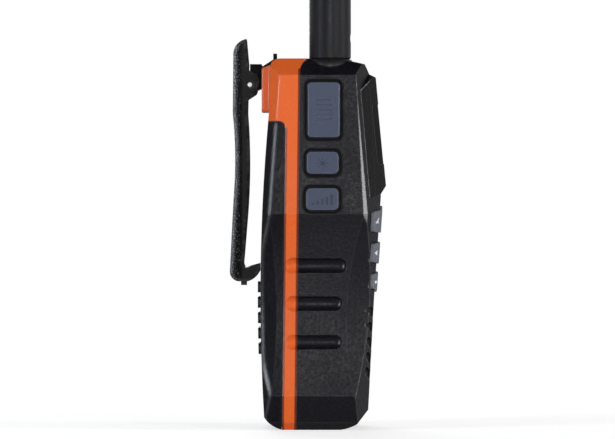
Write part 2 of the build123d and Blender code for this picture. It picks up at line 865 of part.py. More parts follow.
# ---- display bezel, lens and module ----
bezel_corner_z = chest_z - bezel_under_chest
bezel_shoulder_z = level(bezel_shoulder_drop)
bezel_foot_half = crease_half - bezel_foot_inset
bezel_shoulder_half = crease_half - bezel_shoulder_inset
bezel_top_half = crease_half - bezel_top_inset
bezel_flat_half = crease_half - bezel_flat_inset


def bezel_outline(grow=0.0, top_draft=0.0, foot_draft=0.0):
    """Outline of the bezel on the display plane, grown all round or drawn in at its top and foot."""
    corner = display_v(bezel_corner_z) + foot_draft
    notch = display_v(chest_z + bezel_notch_over_chest) + foot_draft
    shoulder = display_v(bezel_shoulder_z) - top_draft
    top = display_v(level(bezel_top_drop)) - top_draft
    ends = (display_v(bezel_corner_z), bezel_foot_half), (display_v(bezel_shoulder_z), bezel_shoulder_half)
    corner_half = between(corner, *ends)
    shoulder_half_now = between(shoulder, *ends)
    outline = Polygon(
        (-corner_half, corner),
        (-bezel_notch_half, notch),
        (bezel_notch_half, notch),
        (corner_half, corner),
        (shoulder_half_now, shoulder),
        (bezel_top_half, top),
        (-bezel_top_half, top),
        (-shoulder_half_now, shoulder),
        align=None)
    if grow:
        outline = offset(outline, amount=grow, kind=Kind.INTERSECTION)
    return outline


def cheek_depth(half, z):
    """Depth of the case's cheek at a half width and height over the crease."""
    turn = math.radians(cheek_angle)
    reach = between(z, (crease_z, cheek_reaches[1]), (shoulder_z, cheek_reaches[0]))
    return (reach - half * math.cos(turn)) / math.sin(turn)


def bezel_hull(grow=0.0):
    """Everything under the bezel's front face, its cheeks and its side facets."""
    block = raised(display_plane, Rectangle(4 * far, 4 * far), -far, bezel_rise + grow)
    rise = bezel_rise / math.cos(front_lean)
    cheek = []
    for z in (below, above):
        depth = between(z, (chest_z, chest_depth), (brow_z, brow_depth)) + rise
        cheek.append((facet_reach(cheek_angle, bezel_flat_half, depth) + grow, z))
    ends = []
    for z, half in ((bezel_corner_z, bezel_foot_half), (bezel_shoulder_z, bezel_shoulder_half)):
        ends.append((z, facet_reach(bezel_side_angle, half, cheek_depth(half, z)) + grow))
    sides = [carry(*ends, below), carry(*ends, above)]
    return block & corner_cut(cheek_angle, [Line(*cheek)]) & corner_cut(bezel_side_angle, [Line(*sides)])


def display_block(half, low_z, high_z, corner, low, high):
    """Rounded block standing on the display plane."""
    low_v = display_v(low_z)
    high_v = display_v(high_z)
    section = Pos(0, (low_v + high_v) / 2) * RectangleRounded(2 * half, high_v - low_v, corner)
    return raised(display_plane, section, low, high)


bezel_seat = 1.2
floor_depth = lens_recess + lens_thickness
module_depth = wall + 1.0
seat_skin = envelope(-bezel_seat)
straight = raised(display_plane, bezel_outline(), -far / 2, 0)
tapered = loft([
    display_plane * bezel_outline(),
    display_plane.offset(bezel_rise) * bezel_outline(0, bezel_top_draft, bezel_foot_draft)], ruled=True)
window_cut = display_block(window_half, window_foot_z, window_high_z, window_corner, -far, far)
lens_block = display_block(
    window_half - fit, window_foot_z + fit, window_high_z - fit, window_corner - fit, -far, far)
view_low_z = window_foot_z + opening_margin
view_high_z = window_high_z - opening_margin
view_cut = display_block(window_half - opening_margin_x, view_low_z, view_high_z, 1.0, -far, far)
display_bezel = ((straight + tapered) & bezel_hull()) - seat_skin
display_bezel -= window_cut - bezel_hull(-floor_depth)
display_bezel -= view_cut
display_lens = lens_block & (bezel_hull(-lens_recess) - bezel_hull(-floor_depth))
bezel_pocket = raised(display_plane, bezel_outline(fit), -far / 2, far) - seat_skin
bezel_backing = raised(display_plane, bezel_outline(wall * 0.8), -module_depth, far)
housing_hollow -= bezel_backing
display_module = display_block(
    window_half - display_margin_x, window_foot_z - display_margin, window_high_z + display_margin, 0.8,
    -module_depth - display_thickness, -module_depth)

# ---- keys ----
key_names = (
    ("channel_key", "up_key", "scan_key"),
    ("left_key", "enter_key", "right_key"),
    ("menu_key", "down_key", "clear_key"),
)
key_skin = envelope(key_rise)
key_guard = envelope(-wall - 0.3)
key_cuts = []
keys = {}
row_high = keys_high_z
for row, names in zip(key_rows, key_names):
    row_low = row_high - row["height"]
    start = middle_key_half + column_gap
    end = crease_half - row["end_inset"]
    columns = (
        ((-end, "outer"), (-start, "inner")),
        ((-middle_key_half, "inner"), (middle_key_half, "inner")),
        ((start, "inner"), (end, "outer")),
    )
    lows = {"inner": row_low, "outer": row_low + row["end_rise"]}
    highs = {"inner": row_high, "outer": row_high - row["end_drop"]}
    for name, ((x_a, end_a), (x_b, end_b)) in zip(names, columns):
        outline = Polygon(
            (x_a, lows[end_a]),
            (x_b, lows[end_b]),
            (x_b, highs[end_b]),
            (x_a, highs[end_a]),
            align=None)
        outline = fillet(outline.vertices(), key_corner)
        key = along_y(outline, -far, -key_bottom_depth) & key_skin
        flange = along_y(offset(outline, amount=key_flange), -key_bottom_depth - 1.0, -key_bottom_depth)
        keys[name] = key + (flange & key_guard)
        cut_back = -key_bottom_depth + key_travel + slide_gap
        key_cuts.append(along_y(offset(outline, amount=slide_gap), -far, cut_back))
    row_high = row_low - row["under"]
mat_front = -key_bottom_depth + key_travel + mat_gap
mat_back = mat_front + mat_thickness
mat_half = crease_half - mat_inset
mat_low_z = keys_low_z - 0.2
mat_high_z = keys_high_z + 1.2
key_post_half = crease_half - key_post_inset
key_post_low_z = keys_low_z - key_post_under_keys
key_post_high_z = keys_high_z + key_post_over_keys
keypad_mat = along_y(
    Pos(0, (mat_low_z + mat_high_z) / 2) * RectangleRounded(2 * mat_half, mat_high_z - mat_low_z, 1.5),
    mat_front, mat_back)
board_low = key_post_low_z - key_post_radius + 0.3
board_high = key_post_high_z + key_post_radius - 0.3
key_board = along_y(
    Pos(0, (board_low + board_high) / 2) * RectangleRounded(2 * mat_half, board_high - board_low, 1.0),
    mat_back, mat_back + key_board_thickness)
key_board_screws = Part()
key_posts = Part()
key_post_holes = Part()
for side in (-1, 1):
    for z in (key_post_low_z, key_post_high_z):
        spot = Pos(side * key_post_half, z)
        board_face = mat_back + key_board_thickness
        shank = along_y(spot * Circle(board_screw_radius), board_face - 5, board_face)
        head = along_y(spot * Circle(board_screw_head), board_face, board_face + board_screw_head_height)
        key_board_screws += shank + head
        key_posts += along_y(spot * Circle(key_post_radius), -far, mat_back)
        key_post_holes += shank
        key_board -= along_y(spot * Circle(board_screw_radius), -far, 0)

# ---- speaker and microphone ----
seat_y = -speaker_seat_depth
speaker_spot = Pos(0, speaker_z)
speaker_mouth = speaker_radius - speaker_seal_width
speaker_ring = along_y(
    speaker_spot * (Circle(speaker_ring_radius) - Circle(speaker_radius + fit)), -far, seat_y + 1.9)
speaker_seat = along_y(speaker_spot * (Circle(speaker_ring_radius) - Circle(speaker_mouth)), -far, seat_y)
mesh_back = seat_y + mesh_thickness
seal_back = mesh_back + speaker_seal_thickness
flange_back = seal_back + speaker_flange
speaker_mesh = along_y(speaker_spot * Circle(speaker_radius), seat_y, mesh_back)
speaker_seal = along_y(
    speaker_spot * (Circle(speaker_radius) - Circle(speaker_mouth)), mesh_back, seal_back)
basket_back = flange_back + speaker_basket
speaker_profile = Polygon(
    (0, 2.2),
    (4.0, 2.2),
    (speaker_radius - 2.4, 0),
    (speaker_radius, 0),
    (speaker_radius, speaker_flange),
    (speaker_radius - 2.0, speaker_flange),
    (speaker_magnet_radius + 1.5, speaker_flange + speaker_basket),
    (speaker_magnet_radius, speaker_flange + speaker_basket),
    (speaker_magnet_radius, speaker_flange + speaker_basket + speaker_magnet),
    (0, speaker_flange + speaker_basket + speaker_magnet),
    align=None)
speaker = revolve(Plane.XY * speaker_profile, axis=Axis.Y)
speaker = Pos(0, seal_back, speaker_z) * speaker
grille = Sketch()
for count in range(slot_count):
    centre = speaker_z - slot_under_speaker + count * slot_pitch + slot_radius
    sweep_angle = math.degrees(math.asin((crease_half - slot_inset) / slot_radius))
    arc = CenterArc((0, centre), slot_radius, 270 - sweep_angle, 2 * sweep_angle)
    grille += SlotArc(arc, slot_width)
grille_cut = along_y(grille, -far, seat_y + 0.1)
grille_recess = grille_cut - envelope(-wall * 0.6)
grille_holes = grille_cut & along_y(speaker_spot * Circle(speaker_mouth), -far, seat_y + 0.1)
mic_spot = Pos(0, mic_z)
mic_front = wall + 1.8 - toe_depth
mic_boot = along_y(mic_spot * Circle(mic_radius + mic_boot_wall), -far, mic_front + mic_length)
mic_boot &= envelope(-wall)
mic_boot -= along_y(mic_spot * Circle(mic_radius), mic_front, 0)
mic_boot -= along_y(mic_spot * Circle(mic_port_radius), -far, 0)
microphone = along_y(mic_spot * Circle(mic_radius), mic_front, mic_front + mic_length)

front_housing = (skin & ahead) - housing_hollow
front_housing += (speaker_ring + speaker_seat + key_posts) & envelope(-wall / 2) & ahead
front_housing -= along_y(speaker_spot * Circle(speaker_radius + fit), seat_y, 0)
front_housing -= bezel_pocket
front_housing -= view_cut
front_housing -= grille_recess
front_housing -= grille_holes
front_housing -= along_y(mic_spot * Circle(mic_port_radius), -far, 0)
front_housing -= key_post_holes
for cut in key_cuts:
    front_housing -= cut

# ---- case screws and their posts ----
case_screws = Part()
post_skin = envelope(-wall / 2) - bezel_pocket
for side in (-1, 1):
    for z in (case_screw_low_z, level(case_screw_drop)):
        spot = Pos(side * (crease_half - case_screw_inset), z)
        under_pack = z < level(pack_drop)
        seat = pack_y(z) - frame_back_wall + 0.8 if under_pack else nape_depth - 2.6
        post = along_y(spot * Circle(case_post_radius), -far, far) & post_skin
        front_housing += post & ahead
        mid_frame += post - ahead - behind_pack(-0.5, -0.5)
        shank = along_y(spot * Circle(case_screw_radius), seam_y(z) - 7, seat)
        head = along_y(spot * Circle(case_screw_head), seat, seat + case_screw_head_height)
        case_screws += shank + head
        front_housing -= shank
        mid_frame -= shank + along_y(spot * Circle(case_screw_head + 0.2), seat, far)

# ---- side buttons, their rubber boots, and the switches behind them ----
ptt_low_z = crease_z + ptt_over_crease
ptt_high_z = level(ptt_top_drop)
side_buttons = {
    "ptt_button": dict(
        depth=ptt_depth, z=(ptt_low_z + ptt_high_z) / 2, width=ptt_width, height=ptt_high_z - ptt_low_z,
        corner=ptt_corner, travel=ptt_travel),
    "lamp_button": dict(
        depth=lamp_depth, z=crease_z + lamp_over_crease, width=lamp_width, height=lamp_height,
        corner=small_button_corner, travel=small_button_travel),
    "squelch_button": dict(
        depth=squelch_depth, z=crease_z + squelch_over_crease, width=squelch_width, height=squelch_height,
        corner=small_button_corner, travel=small_button_travel),
}
button_flange = 0.8
button_foot = button_rise - button_thickness
deepest = max(size["travel"] for size in side_buttons.values())
board_face_height = button_foot - deepest - switch_gap - switch_height
side_buttons_made = {}
side_boots = {}
tact_switches = Part()
boot_pockets = Part()
for name, size in side_buttons.items():
    plane = side_plane(-1, size["depth"], size["z"])
    width = size["width"]
    height = size["height"]
    corner = size["corner"]
    pad = RectangleRounded(width, height, corner)
    seat = RectangleRounded(width + 2 * button_flange, height + 2 * button_flange, corner + button_flange)
    button = raised(plane, pad, button_foot, button_rise)
    button += raised(plane, seat, button_foot, -boot_depth - fit)
    boot_inner = RectangleRounded(width + 2 * slide_gap, height + 2 * slide_gap, corner + slide_gap)
    edge = slide_gap + boot_width
    boot_outer = RectangleRounded(width + 2 * edge, height + 2 * edge, corner + edge)
    edge += boot_flange
    boot_base = RectangleRounded(width + 2 * edge, height + 2 * edge, corner + edge)
    boot = raised(plane, boot_outer, -boot_depth, boot_rise)
    boot += raised(plane, boot_base, -boot_depth, -wall - 0.05)
    boot -= raised(plane, boot_inner, -boot_depth, boot_rise)
    boot_pockets += raised(plane, offset(boot_base, amount=fit), -boot_depth - fit, -wall)
    boot_pockets += raised(plane, offset(seat, amount=slide_gap), button_foot - size["travel"] - fit, -wall)
    front_housing -= raised(plane, offset(boot_outer, amount=fit), -wall - 2, 5)
    if name == "ptt_button":
        for count in range(ptt_rib_count):
            rib_v = (count - (ptt_rib_count - 1) / 2) * ptt_rib_pitch
            line = Pos(0, rib_v) * SlotOverall(ptt_rib_length, ptt_rib_width)
            button -= raised(plane, line, button_rise - ptt_rib_depth, button_rise + 1)
    side_buttons_made[name] = button
    side_boots[name.replace("button", "boot")] = boot
    switch_top = button_foot - size["travel"] - switch_gap
    body = raised(plane, Rectangle(switch_size, switch_size), board_face_height, switch_top - 0.6)
    tact_switches += body + raised(plane, Circle(1.7), switch_top - 0.6, switch_top)
squelch = side_buttons["squelch_button"]
squelch_low = squelch["z"] - squelch["height"] / 2 - slide_gap - boot_width - boot_flange
side_board_low = squelch_low - side_board_hold
side_board_high = level(case_screw_drop) - case_post_radius - 0.1
board_plane = side_plane(-1, squelch["depth"], squelch["z"])
board_v = (side_board_low - squelch["z"]) / math.cos(side_lean)
board_length = (side_board_high - side_board_low) / math.cos(side_lean)
side_board_section = Pos(0, board_v + board_length / 2) * Rectangle(side_board_width, board_length)
board_under = board_face_height - side_board_thickness
side_switch_board = raised(board_plane, side_board_section, board_under, board_face_height)
hold_section = Pos(0, board_v) * Rectangle(side_board_width + 3, 2 * side_board_hold - 1)
board_stand = raised(board_plane, hold_section, board_under - 1.2, 0)
board_stand -= raised(board_plane, side_board_section, board_under, board_face_height)
front_housing += board_stand & envelope(-wall / 2) & ahead

# ---- antenna, its socket and its collar ----
antenna_spot = Pos(antenna_x, antenna_y)
antenna_base = body_height - 0.2
collar_top = body_height - collar_drop
collar_low = collar_top - collar_height
boss_floor = collar_low - boss_wall
antenna_boss = along_z(antenna_spot * Circle(collar_radius + boss_wall), boss_floor, above)
front_housing += antenna_boss & envelope(-wall / 2) & ahead
front_housing -= along_z(antenna_spot * Circle(collar_radius + fit), collar_low, above)
mid_frame -= along_z(antenna_spot * Circle(collar_radius + fit), collar_low, above)
socket_low = antenna_base - socket_length
front_housing -= along_z(antenna_spot * Circle(socket_radius + fit), socket_low - 1, above)
front_housing -= along_z(antenna_spot * Circle(socket_radius + 1.2 + fit), boss_floor - 4, boss_floor)
flare_z = collar_top - collar_flare
collar_outline = face_of(
    Polyline(
        (collar_radius - collar_neck, collar_top),
        (0, collar_top),
        (0, collar_low),
        (collar_radius, collar_low),
        (collar_radius, flare_z)),
    TangentArc((collar_radius, flare_z), (collar_radius - collar_neck, collar_top), tangent=(0, 1)))
antenna_collar = antenna_spot * revolve(Plane.XZ * collar_outline, axis=Axis.Z)
antenna_collar -= along_z(antenna_spot * Circle(socket_radius + fit), collar_low - 1, above)
antenna_socket = along_z(
    antenna_spot * (Circle(socket_radius) - Circle(socket_radius - socket_wall)), socket_low, collar_top)
antenna_socket += along_z(
    antenna_spot * (Circle(socket_radius + 1.2) - Circle(socket_radius - socket_wall)),
    boss_floor - 1.2, boss_floor)
plug_low = antenna_base - plug_length
plug_flange = antenna_radius - antenna_wall
antenna_plug = along_z(antenna_spot * Circle(plug_radius), plug_low, antenna_base)
antenna_plug += along_z(antenna_spot * Circle(plug_flange), antenna_base, antenna_base + 3)
antenna_plug += along_z(antenna_spot * Circle(coil_radius - 1.2), antenna_base + 3, antenna_base + 12)
tip = antenna_base + antenna_length
straight_top = antenna_base + antenna_straight
shoulder = (antenna_tip_radius, tip - antenna_tip_radius)
antenna_outline = face_of(
    Polyline(
        (0, tip),
        (0, antenna_base),
        (antenna_radius - 0.5, antenna_base),
        (antenna_radius, antenna_base + 0.5),
        (antenna_radius, straight_top),
        shoulder),
    TangentArc(shoulder, (0, tip), tangent=(0, 1)))
antenna_sleeve = antenna_spot * revolve(Plane.XZ * antenna_outline, axis=Axis.Z)
antenna_sleeve -= along_z(antenna_spot * Circle(plug_flange + fit), antenna_base - 1, antenna_base + 3)
antenna_sleeve -= along_z(antenna_spot * Circle(coil_radius), antenna_base + 3, tip - 14)
antenna_sleeve -= along_y(
    Pos(antenna_x, body_height + dimple_rise) * Circle(dimple_radius),
    -far, antenna_y - antenna_radius + dimple_depth)
antenna_rod = along_z(antenna_spot * Circle(coil_radius - fit), antenna_base + 12, tip - 14)
antenna_rod -= along_z(antenna_spot * Circle(coil_radius - 1.4), antenna_base + 12, tip - 30)

# ---- volume control ----
knob_spot = Pos(knob_x, knob_y)
knob_low = body_height + knob_gap
knob_high = knob_low + knob_height
pot_top = body_height - wall - deck_front_drop
volume_control = along_z(knob_spot * Rectangle(pot_size, pot_size), pot_top - pot_height, pot_top)
volume_control += along_z(knob_spot * Circle(bushing_radius), pot_top, knob_low - knob_gap / 2)
volume_control -= along_z(knob_spot * Circle(shaft_radius + fit), pot_top - pot_height / 2, above)
volume_shaft = along_z(
    knob_spot * Circle(shaft_radius), pot_top - pot_height / 2 + 0.2, knob_high - 2.5)
front_housing -= along_z(knob_spot * Circle(bushing_radius + fit), pot_top - 2, above)
volume_knob = loft([
    Plane.XY.offset(knob_low) * knob_spot * Circle(knob_radius),
    Plane.XY.offset(knob_high) * knob_spot * Circle(knob_top_radius)])
volume_knob = chamfer(volume_knob.edges().group_by(Axis.Z)[-1], 0.7)
flute = Circle(0.75)
flute_circle = knob_radius + 0.25
for count in range(knob_flutes):
    turn = 2 * math.pi * count / knob_flutes
    spot = knob_spot * Pos(flute_circle * math.cos(turn), flute_circle * math.sin(turn))
    volume_knob -= along_z(spot * flute, knob_low + 1.2, above)
volume_knob -= along_z(knob_spot * Circle(shaft_radius), knob_low - 1, knob_high - 2.5)
volume_knob -= along_z(
    Pos(knob_x, knob_y - knob_top_radius / 2) * Rectangle(0.8, knob_top_radius), knob_high - 0.4, above)

# ---- main board ----
board_top = level(board_top_drop)
board_half = crease_half - board_inset
board_front = -board_depth
main_board = along_y(
    Pos(0, (board_low_z + board_top) / 2) * RectangleRounded(2 * board_half, board_top - board_low_z, 1.5),
    board_front, board_back)
board_posts = Part()
board_screws = Part()
board_screw_holes = Part()
for side in (-1, 1):
    for z in (board_post_low_z, board_post_high_z):
        spot = Pos(side * (board_half - board_post_inset), z)
        board_posts += along_y(spot * Circle(board_post_radius), board_back, far)
        shank = along_y(spot * Circle(board_screw_radius), board_front, board_back + 5)
        head = along_y(spot * Circle(board_screw_head), board_front - board_screw_head_height, board_front)
        board_screws += shank + head
        board_screw_holes += shank
        main_board -= shank
mid_frame += board_posts & (envelope(-wall) - behind_pack(-0.5))
mid_frame -= board_screw_holes
shield_cans = Part()
for can_z, can_height in cans:
    outer = Pos(0, can_z) * RectangleRounded(2 * can_half, can_height, 1.0)
    inner = Pos(0, can_z) * RectangleRounded(2 * (can_half - can_sheet), can_height - 2 * can_sheet, 0.7)
    can = along_y(outer, board_front - can_depth, board_front)
    can -= along_y(inner, board_front - can_depth + can_sheet, board_front)
    shield_cans += can

front_housing -= boot_pockets
front_housing -= case_screws

# ---- gasket between the housing and the frame ----


def gasket_path(inset):
    """Inside of the case at an inset, dipping round the backs of the grip grooves."""
    return envelope(-inset) - grooves(inset)


gasket_band = gasket_path(gasket_inset) - gasket_path(gasket_inset + gasket_width)
housing_gasket = gasket_band & (ahead_of_seam(gasket_height) - ahead)
mid_frame -= housing_gasket

# ---- accessory socket on the other side ----
cover_plane = side_plane(1, 0, level(accessory_drop))
cover_section = RectangleRounded(accessory_width, accessory_height, 2.0)
cover_pocket = RectangleRounded(accessory_width + 0.2, accessory_height + 0.2, 2.1)
pad_section = RectangleRounded(accessory_width + 4, accessory_height + 4, 3.0)
front_housing += raised(cover_plane, pad_section, -accessory_recess - wall, -wall / 2) & ahead
front_housing -= raised(cover_plane, cover_pocket, -accessory_recess, 5)
jack_spot = Pos(0, accessory_height / 6)
screw_spot = Pos(0, -accessory_height / 2 + 3.2)
accessory_cover = raised(cover_plane, cover_section, -accessory_recess, accessory_rise)
accessory_cover -= raised(cover_plane, screw_spot * Circle(1.0), -10, 5)
accessory_cover -= raised(cover_plane, screw_spot * Circle(2.1), accessory_rise - 1.0, 5)
accessory_floor = -accessory_recess - wall
accessory_screw = raised(cover_plane, screw_spot * Circle(1.0), accessory_floor, accessory_rise - 1.0)
accessory_screw += raised(cover_plane, screw_spot * Circle(2.0), accessory_rise - 1.0, accessory_rise - 0.1)
front_housing -= raised(cover_plane, screw_spot * Circle(1.0), accessory_floor, 5)
front_housing -= raised(cover_plane, jack_spot * Circle(jack_radius + fit), -20, 5)
accessory_socket = raised(cover_plane, jack_spot * Circle(jack_radius), -jack_length, -accessory_recess)
accessory_socket += raised(
    cover_plane, jack_spot * Circle(jack_radius + 1.0), accessory_floor - 1.5, accessory_floor)
accessory_socket -= raised(
    cover_plane, jack_spot * Circle(jack_radius - 1.2), -jack_length + 1.5, -accessory_recess)

nodes = {
    "front_housing": front_housing,
    "mid_frame": mid_frame,
    "battery_case": battery_case,
    "housing_gasket": housing_gasket,
    "case_screws": case_screws,
    "display_bezel": display_bezel,
    "display_lens": display_lens,
    "display_module": display_module,
    **keys,
    "keypad_mat": keypad_mat,
    "key_board": key_board,
    "key_board_screws": key_board_screws,
    "speaker_mesh": speaker_mesh,
    "speaker_seal": speaker_seal,
    "speaker": speaker,
    "mic_boot": mic_boot,
    "microphone": microphone,
    **side_buttons_made,
    **side_boots,
    "tact_switches": tact_switches,
    "side_switch_board": side_switch_board,
    "antenna_sleeve": antenna_sleeve,
    "antenna_rod": antenna_rod,
    "antenna_plug": antenna_plug,
    "antenna_socket": antenna_socket,
    "antenna_collar": antenna_collar,
    "volume_knob": volume_knob,
    "volume_shaft": volume_shaft,
    "volume_control": volume_control,
    "main_board": main_board,
    "board_screws": board_screws,
    "shield_cans": shield_cans,
    "accessory_cover": accessory_cover,
    "accessory_screw": accessory_screw,
    "accessory_socket": accessory_socket,
    "battery_lid": battery_lid,
    "battery_cells": battery_cells,
    "protection_board": protection_board,
    "battery_terminals": battery_terminals,
    "contact_pins": contact_pins,
    "charge_contacts": charge_contacts,
    "clip_bracket": clip_bracket,
    "clip_lever": clip_lever,
    "clip_pin": clip_pin,
    "clip_spring": clip_spring,
}
for name, shape in nodes.items():
    export_step(shape, f"parts/{name}.step")
    box = shape.bounding_box()
    print(f"{name:18} {len(shape.solids())} {shape.volume:9.1f} {shape.is_valid} {box.min} {box.max}")
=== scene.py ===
import math

import bmesh
import bpy
from mathutils import Matrix, Vector
from mathutils.bvhtree import BVHTree


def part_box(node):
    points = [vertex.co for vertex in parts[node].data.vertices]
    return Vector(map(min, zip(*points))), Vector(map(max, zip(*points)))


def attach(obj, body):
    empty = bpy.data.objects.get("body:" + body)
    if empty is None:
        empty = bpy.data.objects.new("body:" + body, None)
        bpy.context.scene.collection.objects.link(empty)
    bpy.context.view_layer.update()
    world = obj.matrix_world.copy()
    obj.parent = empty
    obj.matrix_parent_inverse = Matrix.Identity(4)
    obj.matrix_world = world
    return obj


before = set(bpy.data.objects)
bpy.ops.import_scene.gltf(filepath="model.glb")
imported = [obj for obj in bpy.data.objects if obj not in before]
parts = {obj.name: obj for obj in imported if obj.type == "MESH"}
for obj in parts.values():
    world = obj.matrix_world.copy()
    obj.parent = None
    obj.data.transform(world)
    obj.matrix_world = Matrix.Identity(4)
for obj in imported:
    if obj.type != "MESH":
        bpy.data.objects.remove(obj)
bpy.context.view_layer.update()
scene = bpy.context.scene
mm = 0.001

# small helpers for node trees


def addNode(tree, kind, at=(0, 0), **values):
    node = tree.nodes.new(kind)
    node.location = at
    for key, value in values.items():
        setattr(node, key, value)
    return node


def setInputs(node, **values):
    for key, value in values.items():
        node.inputs[key.replace("_", " ")].default_value = value


def newGroup(name, inputs, outputs):
    group = bpy.data.node_groups.new(name, "ShaderNodeTree")
    for label, kind, value in inputs:
        socket = group.interface.new_socket(label, in_out="INPUT", socket_type="NodeSocket" + kind)
        if value is not None:
            socket.default_value = value
    for label, kind in outputs:
        group.interface.new_socket(label, in_out="OUTPUT", socket_type="NodeSocket" + kind)
    source = addNode(group, "NodeGroupInput", (-900, 0))
    sink = addNode(group, "NodeGroupOutput", (700, 0))
    return group, source, sink


def plug(tree, socket, value):
    if hasattr(value, "links"):
        tree.links.new(value, socket)
    elif value is not None:
        socket.default_value = value


def mathNode(tree, operation, a, b, at=(0, 0), clamp=False, c=None):
    node = addNode(tree, "ShaderNodeMath", at, operation=operation, use_clamp=clamp)
    for socket, value in zip(node.inputs, (a, b, c)):
        plug(tree, socket, value)
    return node.outputs[0]


def mixColour(tree, factor, a, b, at=(0, 0)):
    node = addNode(tree, "ShaderNodeMix", at, data_type="RGBA")
    for socket, value in zip((node.inputs[0], node.inputs[6], node.inputs[7]), (factor, a, b)):
        plug(tree, socket, value)
    return node.outputs[2]


def rangeNode(tree, value, span, out=(0.0, 1.0), at=(0, 0)):
    node = addNode(tree, "ShaderNodeMapRange", at)
    tree.links.new(value, node.inputs["Value"])
    setInputs(node, From_Min=span[0], From_Max=span[1], To_Min=out[0], To_Max=out[1])
    return node.outputs["Result"]


def noiseNode(tree, vector, scale, at=(0, 0), detail=3.0, roughness=0.5, distortion=0.0):
    node = addNode(tree, "ShaderNodeTexNoise", at)
    tree.links.new(vector, node.inputs["Vector"])
    plug(tree, node.inputs["Scale"], scale)
    setInputs(node, Detail=detail, Roughness=roughness, Distortion=distortion)
    return node


def splitAxes(tree, vector, at=(0, 0)):
    node = addNode(tree, "ShaderNodeSeparateXYZ", at)
    tree.links.new(vector, node.inputs[0])
    return node.outputs


print("stage: shader groups")

edgeLook = {"gain": 30.0, "patchScale": 420.0, "patch": (0.40, 0.60), "corner": (0.08, 0.20)}


def buildEdgeWearAndSheen():
    # edge wear, lit up partly as a painted highlight: where the rounded normal leaves the face's
    # own, broken up by noise
    group, source, sink = newGroup(
        "Edge Wear And Sheen",
        [("Vector", "Vector", None), ("Rounded Normal", "Vector", None), ("Reach", "Float", 0.5),
         ("Patchiness", "Float", 0.6)],
        [("Mask", "Float"), ("Edge", "Float"), ("Corner", "Float")])
    geometry = addNode(group, "ShaderNodeNewGeometry", (-900, -250))
    dot = addNode(group, "ShaderNodeVectorMath", (-650, -100), operation="DOT_PRODUCT")
    group.links.new(source.outputs["Rounded Normal"], dot.inputs[0])
    group.links.new(geometry.outputs["Normal"], dot.inputs[1])
    turned = mathNode(group, "SUBTRACT", 1.0, dot.outputs["Value"], (-450, -100))
    scaled = mathNode(group, "MULTIPLY", turned, edgeLook["gain"], (-280, -100))
    edge = mathNode(group, "MULTIPLY", scaled, source.outputs["Reach"], (-110, -100), clamp=True)
    noise = noiseNode(group, source.outputs["Vector"], edgeLook["patchScale"], (-650, 200),
                      detail=5.0, roughness=0.65)
    patches = rangeNode(group, noise.outputs["Fac"], edgeLook["patch"], at=(-400, 200))
    blend = addNode(group, "ShaderNodeMix", (100, 0), data_type="FLOAT")
    group.links.new(source.outputs["Patchiness"], blend.inputs[0])
    blend.inputs[2].default_value = 1.0
    group.links.new(patches, blend.inputs[3])
    mask = mathNode(group, "MULTIPLY", edge, blend.outputs[0], (300, 0), clamp=True)
    group.links.new(mask, sink.inputs["Mask"])
    group.links.new(edge, sink.inputs["Edge"])
    # the Corner mask, where the rounded normal turns, is used for painted shade
    corner = rangeNode(group, turned, edgeLook["corner"], at=(-100, -400))
    group.links.new(corner, sink.inputs["Corner"])
    return group


bandLook = {"soft": 0.03, "upright": (0.25, 0.50)}


def buildSidewaysBand():
    # upright faces that look half forward or half back: 1 between two values of the normal's Y
    group, source, sink = newGroup(
        "Sideways Band",
        [("Vector", "Vector", None), ("Low", "Float", 0.4), ("High", "Float", 0.7)],
        [("Mask", "Float")])
    axes = splitAxes(group, source.outputs["Vector"], (-700, 0))
    sideways = mathNode(group, "ABSOLUTE", axes["Y"], None, (-500, 100))
    upward = mathNode(group, "ABSOLUTE", axes["Z"], None, (-500, -200))
    above = mathNode(group, "SUBTRACT", sideways, source.outputs["Low"], (-300, 200))
    below = mathNode(group, "SUBTRACT", source.outputs["High"], sideways, (-300, 0))
    edge = (-bandLook["soft"], bandLook["soft"])
    begins = rangeNode(group, above, edge, at=(-150, 200))
    ends = rangeNode(group, below, edge, at=(-150, 0))
    level = rangeNode(group, upward, bandLook["upright"], (1.0, 0.0), (-150, -200))
    band = mathNode(group, "MULTIPLY", begins, ends, (50, 100))
    group.links.new(mathNode(group, "MULTIPLY", band, level, (200, 0)), sink.inputs["Mask"])
    return group


mouldLook = {"pitScale": 0.7, "pitShare": 0.5, "driftScale": 55.0, "drift": (0.3, 0.7),
             "driftShare": 0.35, "crests": (0.55, 1.0), "darkest": 0.1, "crestGloss": -0.05,
             "driftGloss": 0.04}


